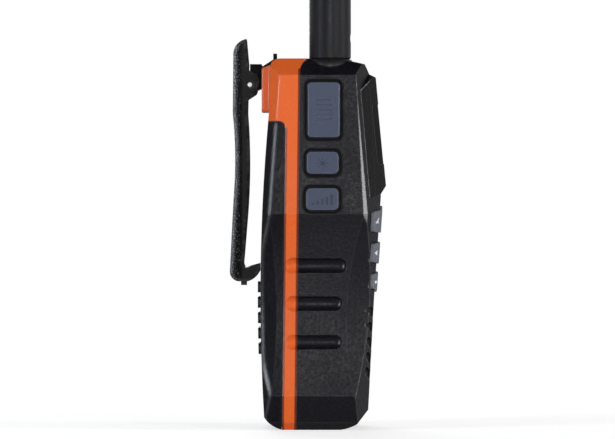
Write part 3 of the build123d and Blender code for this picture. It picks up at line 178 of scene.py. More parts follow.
def buildMouldGrain():
    # fine spark-eroded mould texture: tiny pits and bright crests over a slow drift in tone
    group, source, sink = newGroup(
        "Mould Grain",
        [("Vector", "Vector", None), ("Colour", "Color", (0.02, 0.02, 0.02, 1)),
         ("Grain Scale", "Float", 2200.0), ("Tone Spread", "Float", 0.25)],
        [("Colour", "Color"), ("Height", "Float"), ("Gloss Shift", "Float")])
    vector = source.outputs["Vector"]
    grainScale = source.outputs["Grain Scale"]
    fine = noiseNode(group, vector, grainScale, (-650, 200), roughness=0.7)
    pits = addNode(group, "ShaderNodeTexVoronoi", (-650, -100), feature="F1")
    group.links.new(vector, pits.inputs["Vector"])
    pitScale = mathNode(group, "MULTIPLY", grainScale, mouldLook["pitScale"], (-850, -200))
    group.links.new(pitScale, pits.inputs["Scale"])
    slow = noiseNode(group, vector, mouldLook["driftScale"], (-650, -400))
    height = mathNode(group, "MULTIPLY_ADD", pits.outputs["Distance"], mouldLook["pitShare"],
                      (-400, 0), c=fine.outputs["Fac"])
    drift = rangeNode(group, slow.outputs["Fac"], mouldLook["drift"], (-1.0, 1.0), (-400, -400))
    grainTone = rangeNode(group, height, mouldLook["crests"], (-1.0, 1.0), (-200, -100))
    tone = mathNode(group, "MULTIPLY_ADD", drift, mouldLook["driftShare"], (-200, -350),
                    c=grainTone)
    spread = mathNode(group, "MULTIPLY_ADD", tone, source.outputs["Tone Spread"], (0, -200), c=1.0)
    lifted = mathNode(group, "MAXIMUM", spread, mouldLook["darkest"], (150, -200))
    toned = addNode(group, "ShaderNodeVectorMath", (300, 100), operation="SCALE")
    group.links.new(source.outputs["Colour"], toned.inputs[0])
    group.links.new(lifted, toned.inputs["Scale"])
    group.links.new(toned.outputs["Vector"], sink.inputs["Colour"])
    group.links.new(height, sink.inputs["Height"])
    slowGloss = mathNode(group, "MULTIPLY", drift, mouldLook["driftGloss"], (50, -400))
    shift = mathNode(group, "MULTIPLY_ADD", grainTone, mouldLook["crestGloss"], (200, -300),
                     c=slowGloss)
    group.links.new(shift, sink.inputs["Gloss Shift"])
    return group


hideLook = {"warpScale": 600.0, "warp": 0.0006, "crown": (0.0, 0.22)}


def buildHideGrain():
    # leather-like grain: small rounded cells between narrow creases
    group, source, sink = newGroup(
        "Hide Grain",
        [("Vector", "Vector", None), ("Cell Scale", "Float", 900.0)],
        [("Height", "Float"), ("Crease", "Float")])
    vector = source.outputs["Vector"]
    warp = noiseNode(group, vector, hideLook["warpScale"], (-850, -200), detail=2.0)
    push = addNode(group, "ShaderNodeVectorMath", (-650, -100), operation="MULTIPLY_ADD")
    group.links.new(warp.outputs["Color"], push.inputs[0])
    push.inputs[1].default_value = (hideLook["warp"],) * 3
    group.links.new(vector, push.inputs[2])
    cells = addNode(group, "ShaderNodeTexVoronoi", (-450, 0), feature="DISTANCE_TO_EDGE")
    group.links.new(push.outputs["Vector"], cells.inputs["Vector"])
    group.links.new(source.outputs["Cell Scale"], cells.inputs["Scale"])
    crown = rangeNode(group, cells.outputs["Distance"], hideLook["crown"], at=(-200, 0))
    group.links.new(crown, sink.inputs["Height"])
    crease = mathNode(group, "SUBTRACT", 1.0, crown, (100, -100))
    group.links.new(crease, sink.inputs["Crease"])
    return group


handlingLook = {"smearScale": 90.0, "smear": (0.45, 0.75), "lintScale": 1500.0,
                "lint": (0.68, 0.76), "upward": (-0.2, 1.0), "leastLint": 0.15}


def buildHandling():
    # faint smears left by use, and lint that lies more on faces that look up
    group, source, sink = newGroup(
        "Handling Marks",
        [("Vector", "Vector", None), ("Amount", "Float", 0.5)],
        [("Dust", "Float"), ("Smear", "Float")])
    vector = source.outputs["Vector"]
    amount = source.outputs["Amount"]
    smear = noiseNode(group, vector, handlingLook["smearScale"], (-650, 100), detail=6.0,
                      roughness=0.6, distortion=0.6)
    specks = noiseNode(group, vector, handlingLook["lintScale"], (-650, -200), detail=2.0)
    geometry = addNode(group, "ShaderNodeNewGeometry", (-900, -450))
    up = splitAxes(group, geometry.outputs["Normal"], (-650, -450))["Z"]
    lying = rangeNode(group, up, handlingLook["upward"], (handlingLook["leastLint"], 1.0),
                      (-400, -450))
    lint = rangeNode(group, specks.outputs["Fac"], handlingLook["lint"], at=(-400, -200))
    dust = mathNode(group, "MULTIPLY", lint, lying, (-150, -300))
    group.links.new(mathNode(group, "MULTIPLY", dust, amount, (50, -300)), sink.inputs["Dust"])
    streak = rangeNode(group, smear.outputs["Fac"], handlingLook["smear"], at=(-400, 100))
    group.links.new(mathNode(group, "MULTIPLY", streak, amount, (50, 100)), sink.inputs["Smear"])
    return group


streakLook = {"stretch": 0.03, "tone": (0.3, 0.7), "dark": 0.45, "light": 1.6, "share": 0.6,
              "dull": 0.06}


def buildReflectionStreaks():
    # painted reflection: light and dark streaks stretched out along Z, standing in for the
    # sleeve's upright reflection bands
    group, source, sink = newGroup(
        "Reflection Streaks",
        [("Vector", "Vector", None), ("Streak Scale", "Float", 700.0)],
        [("Tone", "Float")])
    stretched = addNode(group, "ShaderNodeMapping", (-700, 0))
    group.links.new(source.outputs["Vector"], stretched.inputs["Vector"])
    stretched.inputs["Scale"].default_value = (1.0, 1.0, streakLook["stretch"])
    streaks = noiseNode(group, stretched.outputs["Vector"], source.outputs["Streak Scale"], (-450, 0),
                        detail=4.0, roughness=0.6)
    tone = rangeNode(group, streaks.outputs["Fac"], streakLook["tone"], (-1.0, 1.0), (-200, 0))
    group.links.new(tone, sink.inputs["Tone"])
    return group


def buildClothWeave():
    # plain weave: two sets of threads crossing at right angles
    group, source, sink = newGroup(
        "Cloth Weave",
        [("Vector", "Vector", None), ("Thread Scale", "Float", 900.0)],
        [("Height", "Float"), ("Gap", "Float")])
    waves = []
    for row, direction in enumerate(("X", "Z")):
        wave = addNode(group, "ShaderNodeTexWave", (-600, 300 * row), bands_direction=direction)
        group.links.new(source.outputs["Vector"], wave.inputs["Vector"])
        group.links.new(source.outputs["Thread Scale"], wave.inputs["Scale"])
        setInputs(wave, Distortion=0.8, Detail=1.0)
        waves.append(wave.outputs["Fac"])
    over = mathNode(group, "MAXIMUM", waves[0], waves[1], (-300, 150))
    group.links.new(over, sink.inputs["Height"])
    group.links.new(mathNode(group, "SUBTRACT", 1.0, over, (-100, 0)), sink.inputs["Gap"])
    return group


edgeWearAndSheen = buildEdgeWearAndSheen()
sidewaysBand = buildSidewaysBand()
mouldGrain = buildMouldGrain()
hideGrain = buildHideGrain()
handling = buildHandling()
reflectionStreaks = buildReflectionStreaks()
clothWeave = buildClothWeave()

print("stage: materials")

lintColour = (0.30, 0.29, 0.27, 1)
rubbing = {"smearGloss": -0.08, "edgeGloss": -0.12, "bevelSamples": 4, "crestSamples": 6}


def placeGroup(tree, group, at, coordinates, **values):
    node = addNode(tree, "ShaderNodeGroup", at, node_tree=group)
    tree.links.new(coordinates, node.inputs["Vector"])
    setInputs(node, **values)
    return node


def bevelNormal(tree, radius, samples, at):
    node = addNode(tree, "ShaderNodeBevel", at, samples=samples)
    node.inputs["Radius"].default_value = radius * mm
    return node.outputs["Normal"]


def startMaterial(name, look):
    material = bpy.data.materials.new(name)
    material.use_nodes = True
    tree = material.node_tree
    shader = tree.nodes["Principled BSDF"]
    shader.location = (500, 0)
    setInputs(shader, Roughness=look["roughness"], Metallic=look.get("metallic", 0.0))
    setInputs(shader, Specular_IOR_Level=look.get("specular", 0.5))
    setInputs(shader, Coat_Roughness=look.get("coatRoughness", 0.1))
    coordinates = addNode(tree, "ShaderNodeTexCoord", (-1200, 0)).outputs["Object"]
    rounded = bevelNormal(tree, look.get("round", 0.4), rubbing["bevelSamples"], (-1200, -300))
    return material, tree, shader, coordinates, rounded


def paintJointShadows(tree, look, coordinates, paintedShade):
    # painted shadow along the joints between the shells, each a leaning line on the upright side
    # face: its Y at the foot, how far it leans for each step of Z, and the Z where it ends
    axes = splitAxes(tree, coordinates, (-900, 1200))
    width = [reach * mm for reach in look["jointWidth"]]
    for row, (foot, lean, top) in enumerate(look["joints"]):
        rise = 1200 + 200 * row
        line = mathNode(tree, "MULTIPLY_ADD", axes["Z"], -lean, (-700, rise), c=foot * mm)
        off = mathNode(tree, "SUBTRACT", axes["Y"], line, (-550, rise))
        away = mathNode(tree, "ABSOLUTE", off, None, (-450, rise))
        close = rangeNode(tree, away, width, (1.0, 0.0), (-350, rise))
        end = (top * mm, (top + look["jointFade"]) * mm)
        under = rangeNode(tree, axes["Z"], end, (1.0, 0.0), (-350, rise + 100))
        joint = mathNode(tree, "MULTIPLY", close, under, (-200, rise))
        paintedShade = mathNode(tree, "MAXIMUM", paintedShade, joint, (-100, rise))
    return paintedShade


def wearSheenShadeAndDust(tree, look, coordinates, rounded, colour):
    # the edge wear with its painted highlight, the painted shade in corners and joints, and the
    # lint that lie over a surface's own colour
    wear = placeGroup(tree, edgeWearAndSheen, (-900, -200), coordinates, Reach=look["wear"],
                      Patchiness=look.get("patchy", 0.7))
    tree.links.new(rounded, wear.inputs["Rounded Normal"])
    marks = placeGroup(tree, handling, (-900, -500), coordinates, Amount=look["marks"])
    wearSheenAmount = mathNode(tree, "MULTIPLY", wear.outputs["Mask"], look.get("wearSheenStrength", 0.5),
                      (-600, -200))
    # edge wear and painted highlight: the edges are lightened towards the edge wear colour
    wornSheenShade = mixColour(tree, wearSheenAmount, colour, (*look["wornSheenColour"], 1), (-400, 150))
    if "seam" in look:
        paintedShade = wear.outputs["Corner"]  # painted shade in the inner corners
        if "joints" in look:
            paintedShade = paintJointShadows(tree, look, coordinates, paintedShade)
        shadow = mathNode(tree, "MULTIPLY", paintedShade, look["seam"], (0, 1000))
        wornSheenShade = mixColour(tree, shadow, wornSheenShade, (*look["seamShadeColour"], 1), (-300, 300))
    dusted = mixColour(tree, marks.outputs["Dust"], wornSheenShade, lintColour, (-200, 150))
    return wear, marks.outputs["Smear"], dusted


def polishCrests(tree, shader, look):
    # a coat on the edges and narrow facets that look half sideways, rubbed smooth by hands
    soft = bevelNormal(tree, look["crest"], rubbing["crestSamples"], (-500, 700))
    tree.links.new(soft, shader.inputs["Coat Normal"])
    kept = addNode(tree, "ShaderNodeVectorMath", (-350, 700), operation="MAXIMUM")
    tree.links.new(soft, kept.inputs[0])
    # a crestFrom of 0 keeps only the crests that look back
    kept.inputs[1].default_value = (-1.0, look.get("crestFrom", -1.0), -1.0)
    facing = addNode(tree, "ShaderNodeNewGeometry", (-500, 900)).outputs["Normal"]
    near = placeGroup(tree, sidewaysBand, (-200, 700), kept.outputs[0],
                      Low=look["crestBand"][0], High=look["crestBand"][1])
    face = placeGroup(tree, sidewaysBand, (-200, 900), facing,
                      Low=look["faceBand"][0], High=look["faceBand"][1])
    crest = mathNode(tree, "MULTIPLY", near.outputs["Mask"], face.outputs["Mask"], (50, 800))
    return mathNode(tree, "MULTIPLY", crest, look["polish"], (300, 400))


def roughnessFrom(tree, shader, base, mask, smear):
    # smears and rubbed edges both shine a little more
    smeared = mathNode(tree, "MULTIPLY_ADD", smear, rubbing["smearGloss"], (-200, -100), c=base)
    polished = mathNode(tree, "MULTIPLY_ADD", mask, rubbing["edgeGloss"], (0, -100), c=smeared)
    tree.links.new(polished, shader.inputs["Roughness"])


def bumpFrom(tree, shader, height, rounded, strength, depth):
    bump = addNode(tree, "ShaderNodeBump", (200, -300))
    setInputs(bump, Strength=strength, Distance=depth * mm)
    tree.links.new(height, bump.inputs["Height"])
    tree.links.new(rounded, bump.inputs["Normal"])
    tree.links.new(bump.outputs["Normal"], shader.inputs["Normal"])


def moulded(name, look):
    material, tree, shader, coordinates, rounded = startMaterial(name, look)
    grain = placeGroup(tree, mouldGrain, (-900, 200), coordinates, Colour=(*look["colour"], 1),
                       Grain_Scale=look["grain"], Tone_Spread=look["spread"])
    wear, smear, colour = wearSheenShadeAndDust(tree, look, coordinates, rounded, grain.outputs["Colour"])
    rough = mathNode(tree, "MULTIPLY_ADD", grain.outputs["Gloss Shift"],
                     look.get("glossSpread", 1.0), (-400, -100), c=look["roughness"])
    # painted reflection: the streaks lighten and darken the colour in bands along Z
    if "streaks" in look:
        streaks = placeGroup(tree, reflectionStreaks, (-900, 500), coordinates,
                             Streak_Scale=look["streakScale"])
        tone = streaks.outputs["Tone"]
        factor = mathNode(tree, "MULTIPLY_ADD", tone, look["streaks"], (-600, 500), c=0.5)
        dark = (*(streakLook["dark"] * channel for channel in look["colour"]), 1)
        light = (*(streakLook["light"] * channel for channel in look["colour"]), 1)
        streaked = mixColour(tree, factor, dark, light, (-400, 500))
        colour = mixColour(tree, streakLook["share"], colour, streaked, (-100, 400))
        rough = mathNode(tree, "MULTIPLY_ADD", tone, streakLook["dull"], (-300, -150), c=rough)
    if "polish" in look:
        tree.links.new(polishCrests(tree, shader, look), shader.inputs["Coat Weight"])
    tree.links.new(colour, shader.inputs["Base Color"])
    roughnessFrom(tree, shader, rough, wear.outputs["Mask"], smear)
    bumpFrom(tree, shader, grain.outputs["Height"], rounded, look["bump"],
             look.get("bumpDepth", 0.05))
    return material


def hide(name, look):
    # grained outside, plain towards the body of the radio
    material, tree, shader, coordinates, rounded = startMaterial(name, look)
    grain = placeGroup(tree, hideGrain, (-900, 200), coordinates, Cell_Scale=look["cells"])
    depth = splitAxes(tree, coordinates, (-1000, 600))["Y"]
    outer = rangeNode(tree, depth, (look["smoothTo"] * mm, look["grainFrom"] * mm),
                      at=(-800, 600))
    crease = mathNode(tree, "MULTIPLY", grain.outputs["Crease"], outer, (-700, 400))
    crowned = mixColour(tree, outer, (*look["smoothColour"], 1), (*look["colour"], 1), (-600, 500))
    base = mixColour(tree, crease, crowned, (*look["creaseColour"], 1), (-600, 200))
    wear, smear, colour = wearSheenShadeAndDust(tree, look, coordinates, rounded, base)
    # painted highlight: the outer rim is painted pale on the crowns of the grain
    rim = mathNode(tree, "MULTIPLY", wear.outputs["Edge"], outer, (-300, 700))
    pale = mathNode(tree, "MULTIPLY", rim, grain.outputs["Height"], (-150, 700))
    colour = mixColour(tree, pale, colour, (*look["rimHighlightColour"], 1), (0, 600))
    tree.links.new(colour, shader.inputs["Base Color"])
    glossier = look["roughness"] - look["smoothRoughness"]
    dull = mathNode(tree, "MULTIPLY_ADD", outer, glossier, (-600, -100), c=look["smoothRoughness"])
    rough = mathNode(tree, "MULTIPLY_ADD", crease, look["creaseDull"], (-400, -100), c=dull)
    roughnessFrom(tree, shader, rough, wear.outputs["Mask"], smear)
    height = mathNode(tree, "MULTIPLY", grain.outputs["Height"], outer, (-200, -400))
    bumpFrom(tree, shader, height, rounded, look["bump"], look["bumpDepth"])
    crest = mathNode(tree, "MULTIPLY", polishCrests(tree, shader, look), outer, (300, 600))
    speckled = mathNode(tree, "MULTIPLY_ADD", grain.outputs["Crease"], look["creaseCoat"],
                        (300, 700), c=1.0)
    coat = mathNode(tree, "MULTIPLY", crest, speckled, (400, 600))
    tree.links.new(coat, shader.inputs["Coat Weight"])
    return material


def woven(name, look):
    material, tree, shader, coordinates, rounded = startMaterial(name, look)
    weave = placeGroup(tree, clothWeave, (-900, 200), coordinates, Thread_Scale=look["thread"])
    base = mixColour(tree, weave.outputs["Gap"], (*look["colour"], 1), (*look["gapColour"], 1),
                     (-600, 200))
    wear, smear, colour = wearSheenShadeAndDust(tree, look, coordinates, rounded, base)
    tree.links.new(colour, shader.inputs["Base Color"])
    roughnessFrom(tree, shader, look["roughness"], wear.outputs["Mask"], smear)
    bumpFrom(tree, shader, weave.outputs["Height"], rounded, look["bump"], look["bumpDepth"])
    return material


def glazed(name, look):
    # hard black window: the clear middle shows the grey-green display, the printed border is black
    material, tree, shader, coordinates, rounded = startMaterial(name, look)
    low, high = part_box("display_lens")
    middle = (Vector(low) + Vector(high)) / 2
    half = (Vector(high) - Vector(low)) / 2
    centred = addNode(tree, "ShaderNodeMapping", (-1000, 300), vector_type="POINT")
    tree.links.new(coordinates, centred.inputs["Vector"])
    centred.inputs["Location"].default_value = (-middle.x, 0.0, -middle.z)
    axes = splitAxes(tree, centred.outputs["Vector"], (-800, 300))
    soft = look["borderSoft"] * mm
    edges = []
    for row, (axis, border) in enumerate(zip("XZ", look["border"])):
        reach = getattr(half, axis.lower()) - border * mm
        away = mathNode(tree, "ABSOLUTE", axes[axis], None, (-650, 400 - 200 * row))
        edges.append(rangeNode(tree, away, (reach - soft, reach + soft), (1.0, 0.0),
                               (-450, 400 - 200 * row)))
    clear = mathNode(tree, "MULTIPLY", edges[0], edges[1], (-250, 300))
    grain = placeGroup(tree, mouldGrain, (-900, -50), coordinates,
                       Colour=(*look["screenColour"], 1), Grain_Scale=look["grain"],
                       Tone_Spread=look["spread"])
    base = mixColour(tree, clear, (*look["colour"], 1), grain.outputs["Colour"], (-100, 300))
    wear, smear, colour = wearSheenShadeAndDust(tree, look, coordinates, rounded, base)
    tree.links.new(colour, shader.inputs["Base Color"])
    greasy = mathNode(tree, "MULTIPLY", smear, -1.0, (-400, -400))  # smears dull the glass
    roughnessFrom(tree, shader, look["roughness"], wear.outputs["Mask"], greasy)
    tree.links.new(rounded, shader.inputs["Normal"])
    return material


# sizes in millimetres; a larger grain, cells, thread or streakScale makes a finer texture
# the edge wear colour lightens the edges, partly as wear and partly as a painted highlight; the
# seam colour is painted shade in the inner corners and along the joints
finishes = {
    "housing": dict(
        colour=(0.0032, 0.0032, 0.0052), wornSheenColour=(0.16, 0.16, 0.18), roughness=0.38,
        specular=0.10, glossSpread=1.6, grain=1250.0, bump=0.8, bumpDepth=0.10, spread=0.60,
        wear=1.2, wearSheenStrength=0.18, patchy=0.5, marks=0.15, round=0.6, polish=0.8,
        coatRoughness=0.24, crest=0.7, crestBand=(0.45, 0.68), faceBand=(0.25, 0.90)),
    "packBlack": dict(
        colour=(0.0032, 0.0032, 0.0052), wornSheenColour=(0.16, 0.16, 0.18), roughness=0.38,
        specular=0.06, glossSpread=1.6, grain=1100.0, bump=0.8, bumpDepth=0.10, spread=0.60,
        wear=1.2, wearSheenStrength=0.18, patchy=0.5, marks=0.15, round=0.6, polish=1.0,
        coatRoughness=0.17, crest=2.6, crestFrom=0.0, crestBand=(0.39, 0.66),
        faceBand=(-1.0, 0.90)),
    "bezelBlack": dict(
        colour=(0.0034, 0.0034, 0.0038), wornSheenColour=(0.16, 0.16, 0.17), roughness=0.42,
        specular=0.05, grain=1500.0, bump=0.25, bumpDepth=0.10, spread=0.40, wear=1.2,
        wearSheenStrength=0.25, patchy=0.3, marks=0.15, round=0.4, polish=1.0, coatRoughness=0.24,
        crest=0.9, crestBand=(0.30, 0.64), faceBand=(-1.0, 1.2)),
    "frameOrange": dict(
        colour=(0.60, 0.100, 0.017), wornSheenColour=(0.85, 0.42, 0.28), roughness=0.45,
        specular=0.10, grain=1500.0, bump=0.10, spread=0.04, wear=1.0, wearSheenStrength=0.15,
        patchy=0.1, marks=0.05, round=0.9, polish=1.0, coatRoughness=0.17, crest=1.4,
        crestFrom=0.0, crestBand=(0.30, 0.66), faceBand=(-1.0, 0.90), seam=0.9,
        seamShadeColour=(0.085, 0.010, 0.004), jointWidth=(0.60, 0.90), jointFade=0.3,
        joints=[(8.1, 0.0112, 134.0), (13.4, 0.0105, 112.0)]),
    "slateRubber": dict(
        colour=(0.052, 0.062, 0.094), wornSheenColour=(0.16, 0.18, 0.24), roughness=0.55,
        specular=0.08, grain=1500.0, bump=0.05, spread=0.04, wear=1.4, wearSheenStrength=0.6,
        patchy=0.0, marks=0.04, round=0.5, polish=0.7, coatRoughness=0.3, crest=0.8,
        crestBand=(0.30, 0.80), faceBand=(-1.0, 1.2), seam=0.8, seamShadeColour=(0.010, 0.012, 0.018)),
    "greyKeys": dict(
        colour=(0.105, 0.110, 0.130), wornSheenColour=(0.26, 0.26, 0.29), roughness=0.5, specular=0.1,
        grain=1500.0, bump=0.08, spread=0.10, wear=0.9, marks=0.08, round=0.4),
    "blackRubber": dict(
        colour=(0.0018, 0.0018, 0.0022), wornSheenColour=(0.06, 0.06, 0.07), roughness=0.55,
        specular=0.03, grain=1200.0, bump=0.10, spread=0.25, wear=1.0, wearSheenStrength=0.6,
        patchy=0.1, marks=0.04, round=0.45),
    "clipBlack": dict(
        colour=(0.0020, 0.0020, 0.0024), wornSheenColour=(0.06, 0.06, 0.07), roughness=0.5,
        specular=0.03, grain=1200.0, bump=0.10, spread=0.25, wear=1.0, marks=0.08, round=0.4),
    "antennaRubber": dict(
        colour=(0.0085, 0.0085, 0.0100), wornSheenColour=(0.07, 0.07, 0.07), roughness=0.40,
        specular=0.08, grain=1300.0, bump=0.10, spread=0.15, wear=0.6, marks=0.10, round=0.3,
        streaks=0.25, streakScale=520.0),
    "collarGloss": dict(
        colour=(0.004, 0.004, 0.005), wornSheenColour=(0.10, 0.10, 0.11), roughness=0.40,
        specular=0.18, grain=900.0, bump=0.05, spread=0.10, wear=0.6, marks=0.05, round=0.35),
    "steel": dict(
        colour=(0.30, 0.29, 0.29), wornSheenColour=(0.45, 0.44, 0.43), roughness=0.50, metallic=1.0,
        grain=1200.0, bump=0.05, spread=0.10, wear=0.4, marks=0.10, round=0.12),
    "brass": dict(
        colour=(0.72, 0.50, 0.22), wornSheenColour=(0.85, 0.65, 0.35), roughness=0.30, metallic=1.0,
        grain=1200.0, bump=0.05, spread=0.10, wear=0.4, marks=0.08, round=0.12),
    "boardGreen": dict(
        colour=(0.015, 0.09, 0.045), wornSheenColour=(0.05, 0.15, 0.09), roughness=0.35, specular=0.4,
        grain=700.0, bump=0.08, spread=0.15, wear=0.3, marks=0.08, round=0.1),
    "cellWrap": dict(
        colour=(0.03, 0.08, 0.22), wornSheenColour=(0.1, 0.15, 0.3), roughness=0.3, specular=0.4,
        grain=500.0, bump=0.08, spread=0.10, wear=0.3, marks=0.08, round=0.3),
    "innerBlack": dict(
        colour=(0.012, 0.012, 0.013), wornSheenColour=(0.05, 0.05, 0.05), roughness=0.55,
        specular=0.2, grain=1200.0, bump=0.15, spread=0.2, wear=0.4, marks=0.08, round=0.2),
    "displayGlass": dict(
        colour=(0.09, 0.11, 0.09), wornSheenColour=(0.12, 0.14, 0.12), roughness=0.3, specular=0.4,
        grain=2000.0, bump=0.02, spread=0.06, wear=0.2, marks=0.05, round=0.1),
    "whitePrint": dict(
        colour=(0.62, 0.63, 0.66), wornSheenColour=(0.50, 0.50, 0.52), roughness=0.5, specular=0.3,
        grain=1800.0, bump=0.08, spread=0.08, wear=0.2, marks=0.03, round=0.05),
    "slatePrint": dict(
        colour=(0.026, 0.029, 0.045), wornSheenColour=(0.06, 0.06, 0.09), roughness=0.6,
        specular=0.2, grain=1800.0, bump=0.08, spread=0.10, wear=0.2, marks=0.03, round=0.05),
}
# the rim colour is a painted highlight on the clip's outer rim
clipLook = dict(
    colour=(0.0075, 0.0075, 0.008), creaseColour=(0.002, 0.002, 0.002),
    smoothColour=(0.0022, 0.0022, 0.0026), rimHighlightColour=(0.26, 0.28, 0.33),
    wornSheenColour=(0.16, 0.16, 0.17), roughness=0.36, smoothRoughness=0.52, creaseDull=0.25,
    creaseCoat=-0.45, specular=0.10, cells=1000.0, bump=1.0, bumpDepth=0.35, smoothTo=28.2,
    grainFrom=29.2, wear=1.0, patchy=1.0, marks=0.1, round=2.0, polish=1.0, coatRoughness=0.24,
    crest=3.2, crestFrom=0.0, crestBand=(0.22, 0.90), faceBand=(-1.0, 1.2))
clothLook = dict(
    colour=(0.010, 0.010, 0.011), gapColour=(0.001, 0.001, 0.001), wornSheenColour=(0.03, 0.03, 0.03),
    roughness=0.85, specular=0.2, thread=420.0, bump=0.6, bumpDepth=0.15, wear=0.2, marks=0.1,
    round=0.1)
windowLook = dict(
    colour=(0.0025, 0.0025, 0.003), screenColour=(0.016, 0.020, 0.017),
    wornSheenColour=(0.004, 0.004, 0.004), roughness=0.10, specular=0.04, grain=2400.0, spread=0.10,
    border=(4.7, 1.8), borderSoft=0.1, wear=0.2, marks=0.03, round=0.25)

finish = {name: moulded(name, look) for name, look in finishes.items()}
finish["clipHide"] = hide("clipHide", clipLook)
finish["speakerCloth"] = woven("speakerCloth", clothLook)
finish["windowGloss"] = glazed("windowGloss", windowLook)

wearing = {
    "housing": ["front_housing"],
    "packBlack": ["battery_case"],
    "bezelBlack": ["display_bezel"],
    "clipBlack": ["clip_bracket"],
    "frameOrange": ["mid_frame"],
    "slateRubber": ["ptt_button", "lamp_button", "squelch_button"],
    "greyKeys": ["channel_key", "up_key", "scan_key", "left_key", "enter_key", "right_key",
                 "menu_key", "down_key", "clear_key"],
    "blackRubber": ["housing_gasket", "keypad_mat", "speaker_seal", "mic_boot", "ptt_boot",
                    "lamp_boot", "squelch_boot", "accessory_cover"],
    "antennaRubber": ["antenna_sleeve", "volume_knob"],
    "collarGloss": ["antenna_collar"],
    "windowGloss": ["display_lens"],
    "displayGlass": ["display_module"],
    "speakerCloth": ["speaker_mesh"],
    "clipHide": ["clip_lever"],
    "boardGreen": ["main_board", "key_board", "side_switch_board", "protection_board"],
    "innerBlack": ["speaker", "tact_switches", "antenna_rod", "battery_lid"],
    "cellWrap": ["battery_cells"],
    "brass": ["antenna_plug", "antenna_socket", "accessory_socket", "battery_terminals",
              "contact_pins"],
    "steel": ["case_screws", "key_board_screws", "microphone", "volume_shaft", "volume_control",
              "board_screws", "shield_cans", "accessory_screw", "charge_contacts", "clip_pin",
              "clip_spring"],
}
for chosen, names in wearing.items():
    for name in names:
        parts[name].data.materials.clear()
        parts[name].data.materials.append(finish[chosen])

print("stage: printed marks")

# millimetres, apart from the font size for each unit of a figure's height
printSize = {"proud": 0.03, "sunk": 0.05, "reach": 60.0, "skyHeight": 1000.0, "merge": 0.005,
             "fontSize": 1.4}


def placed(u, v, turn=0.0, stretch=(1.0, 1.0)):
    # a place on the drawing sheet, in millimetres
    spin = Matrix.Rotation(math.radians(turn), 4, "Z")
    flat = Matrix.Diagonal((stretch[0] * mm, stretch[1] * mm, mm, 1.0))
    return Matrix.Translation((u * mm, v * mm, 0.0)) @ spin @ flat


def drawBar(mesh, u, v, width, height, turn=0.0):
    bmesh.ops.create_grid(mesh, x_segments=2, y_segments=2, size=0.5,
                          matrix=placed(u, v, turn, (width, height)))


def drawTriangle(mesh, u, v, reach, turn):
    bmesh.ops.create_circle(mesh, cap_ends=True, segments=3, radius=reach,
                            matrix=placed(u, v, turn))


def drawDisc(mesh, u, v, reach):
    bmesh.ops.create_circle(mesh, cap_ends=True, segments=20, radius=reach, matrix=placed(u, v))


def drawRing(mesh, u, v, reach, width):
    for radius in (reach, reach - width):
        bmesh.ops.create_circle(mesh, segments=28, radius=radius, matrix=placed(u, v))
    loose = [edge for edge in mesh.edges if not edge.link_faces]
    bmesh.ops.bridge_loops(mesh, edges=loose)


def drawLevels(mesh, u, v, count, pitch, width, tallest):
    for step in range(count):
        height = tallest * (step + 1) / count
        drawBar(mesh, u + (step - (count - 1) / 2) * pitch, v + (height - tallest) / 2, width,
                height)


sunShape = {"disc": 0.42, "rays": 8, "rayAt": 0.8, "rayLength": 0.4, "rayWidth": 0.16}


def drawSun(mesh, u, v, reach):
    drawDisc(mesh, u, v, reach * sunShape["disc"])
    away = reach * sunShape["rayAt"]
    for ray in range(sunShape["rays"]):
        turn = 360.0 / sunShape["rays"] * ray
        drawBar(mesh, u + away * math.cos(math.radians(turn)),
                v + away * math.sin(math.radians(turn)), reach * sunShape["rayLength"],
                reach * sunShape["rayWidth"], turn)


def drawNumber(mesh, u, v, text, height):
    curve = bpy.data.curves.new("Number", "FONT")
    curve.body = text
    curve.size = height * printSize["fontSize"]
    curve.align_x = "CENTER"
    curve.align_y = "CENTER"
    holder = bpy.data.objects.new("Number", curve)
    flat = bpy.data.meshes.new_from_object(holder)
    flat.transform(placed(u, v))
    mesh.from_mesh(flat)
    bpy.data.objects.remove(holder)
    bpy.data.curves.remove(curve)
    bpy.data.meshes.remove(flat)
    bmesh.ops.remove_doubles(mesh, verts=mesh.verts[:], dist=printSize["merge"] * mm)


# each side of the radio as a drawing sheet: its right, its up and the way the print is pressed on
sheets = {
    "front": Matrix(((1, 0, 0), (0, 0, 1), (0, 1, 0))).transposed(),
    "left": Matrix(((0, -1, 0), (0, 0, 1), (1, 0, 0))).transposed(),
    "right": Matrix(((0, 1, 0), (0, 0, 1), (-1, 0, 0))).transposed(),
    "back": Matrix(((-1, 0, 0), (0, 0, 1), (0, -1, 0))).transposed(),
    "top": Matrix(((1, 0, 0), (0, 1, 0), (0, 0, -1))).transposed(),
}


def pressOn(mesh, name, target, sheet, body, finishName, centre):
    # lay the drawing on the target's face, then give it its thickness
    turn = sheets[sheet]
    inward = turn @ Vector((0, 0, 1))
    data = parts[target].data
    surface = BVHTree.FromPolygons([point.co for point in data.vertices],
                                   [face.vertices[:] for face in data.polygons])
    flatCentre = centre - inward * centre.dot(inward)
    for point in mesh.verts:
        start = turn @ point.co + flatCentre - inward * printSize["reach"] * mm
        if sheet == "top":
            start.z = printSize["skyHeight"] * mm
        hit = surface.ray_cast(start, inward)[0]
        point.co = hit - inward * printSize["proud"] * mm
    raised = bmesh.ops.extrude_face_region(mesh, geom=mesh.faces[:])["geom"]
    inner = [item for item in raised if isinstance(item, bmesh.types.BMVert)]
    bmesh.ops.translate(mesh, verts=inner,
                        vec=inward * (printSize["proud"] + printSize["sunk"]) * mm)
    bmesh.ops.recalc_face_normals(mesh, faces=mesh.faces[:])
    flat = bpy.data.meshes.new(name)
    mesh.to_mesh(flat)
    mesh.free()
    piece = bpy.data.objects.new(name, flat)
    scene.collection.objects.link(piece)
    flat.materials.append(finish[finishName])
    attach(piece, body)


def middleOf(name):
    low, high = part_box(name)
    return (Vector(low) + Vector(high)) / 2


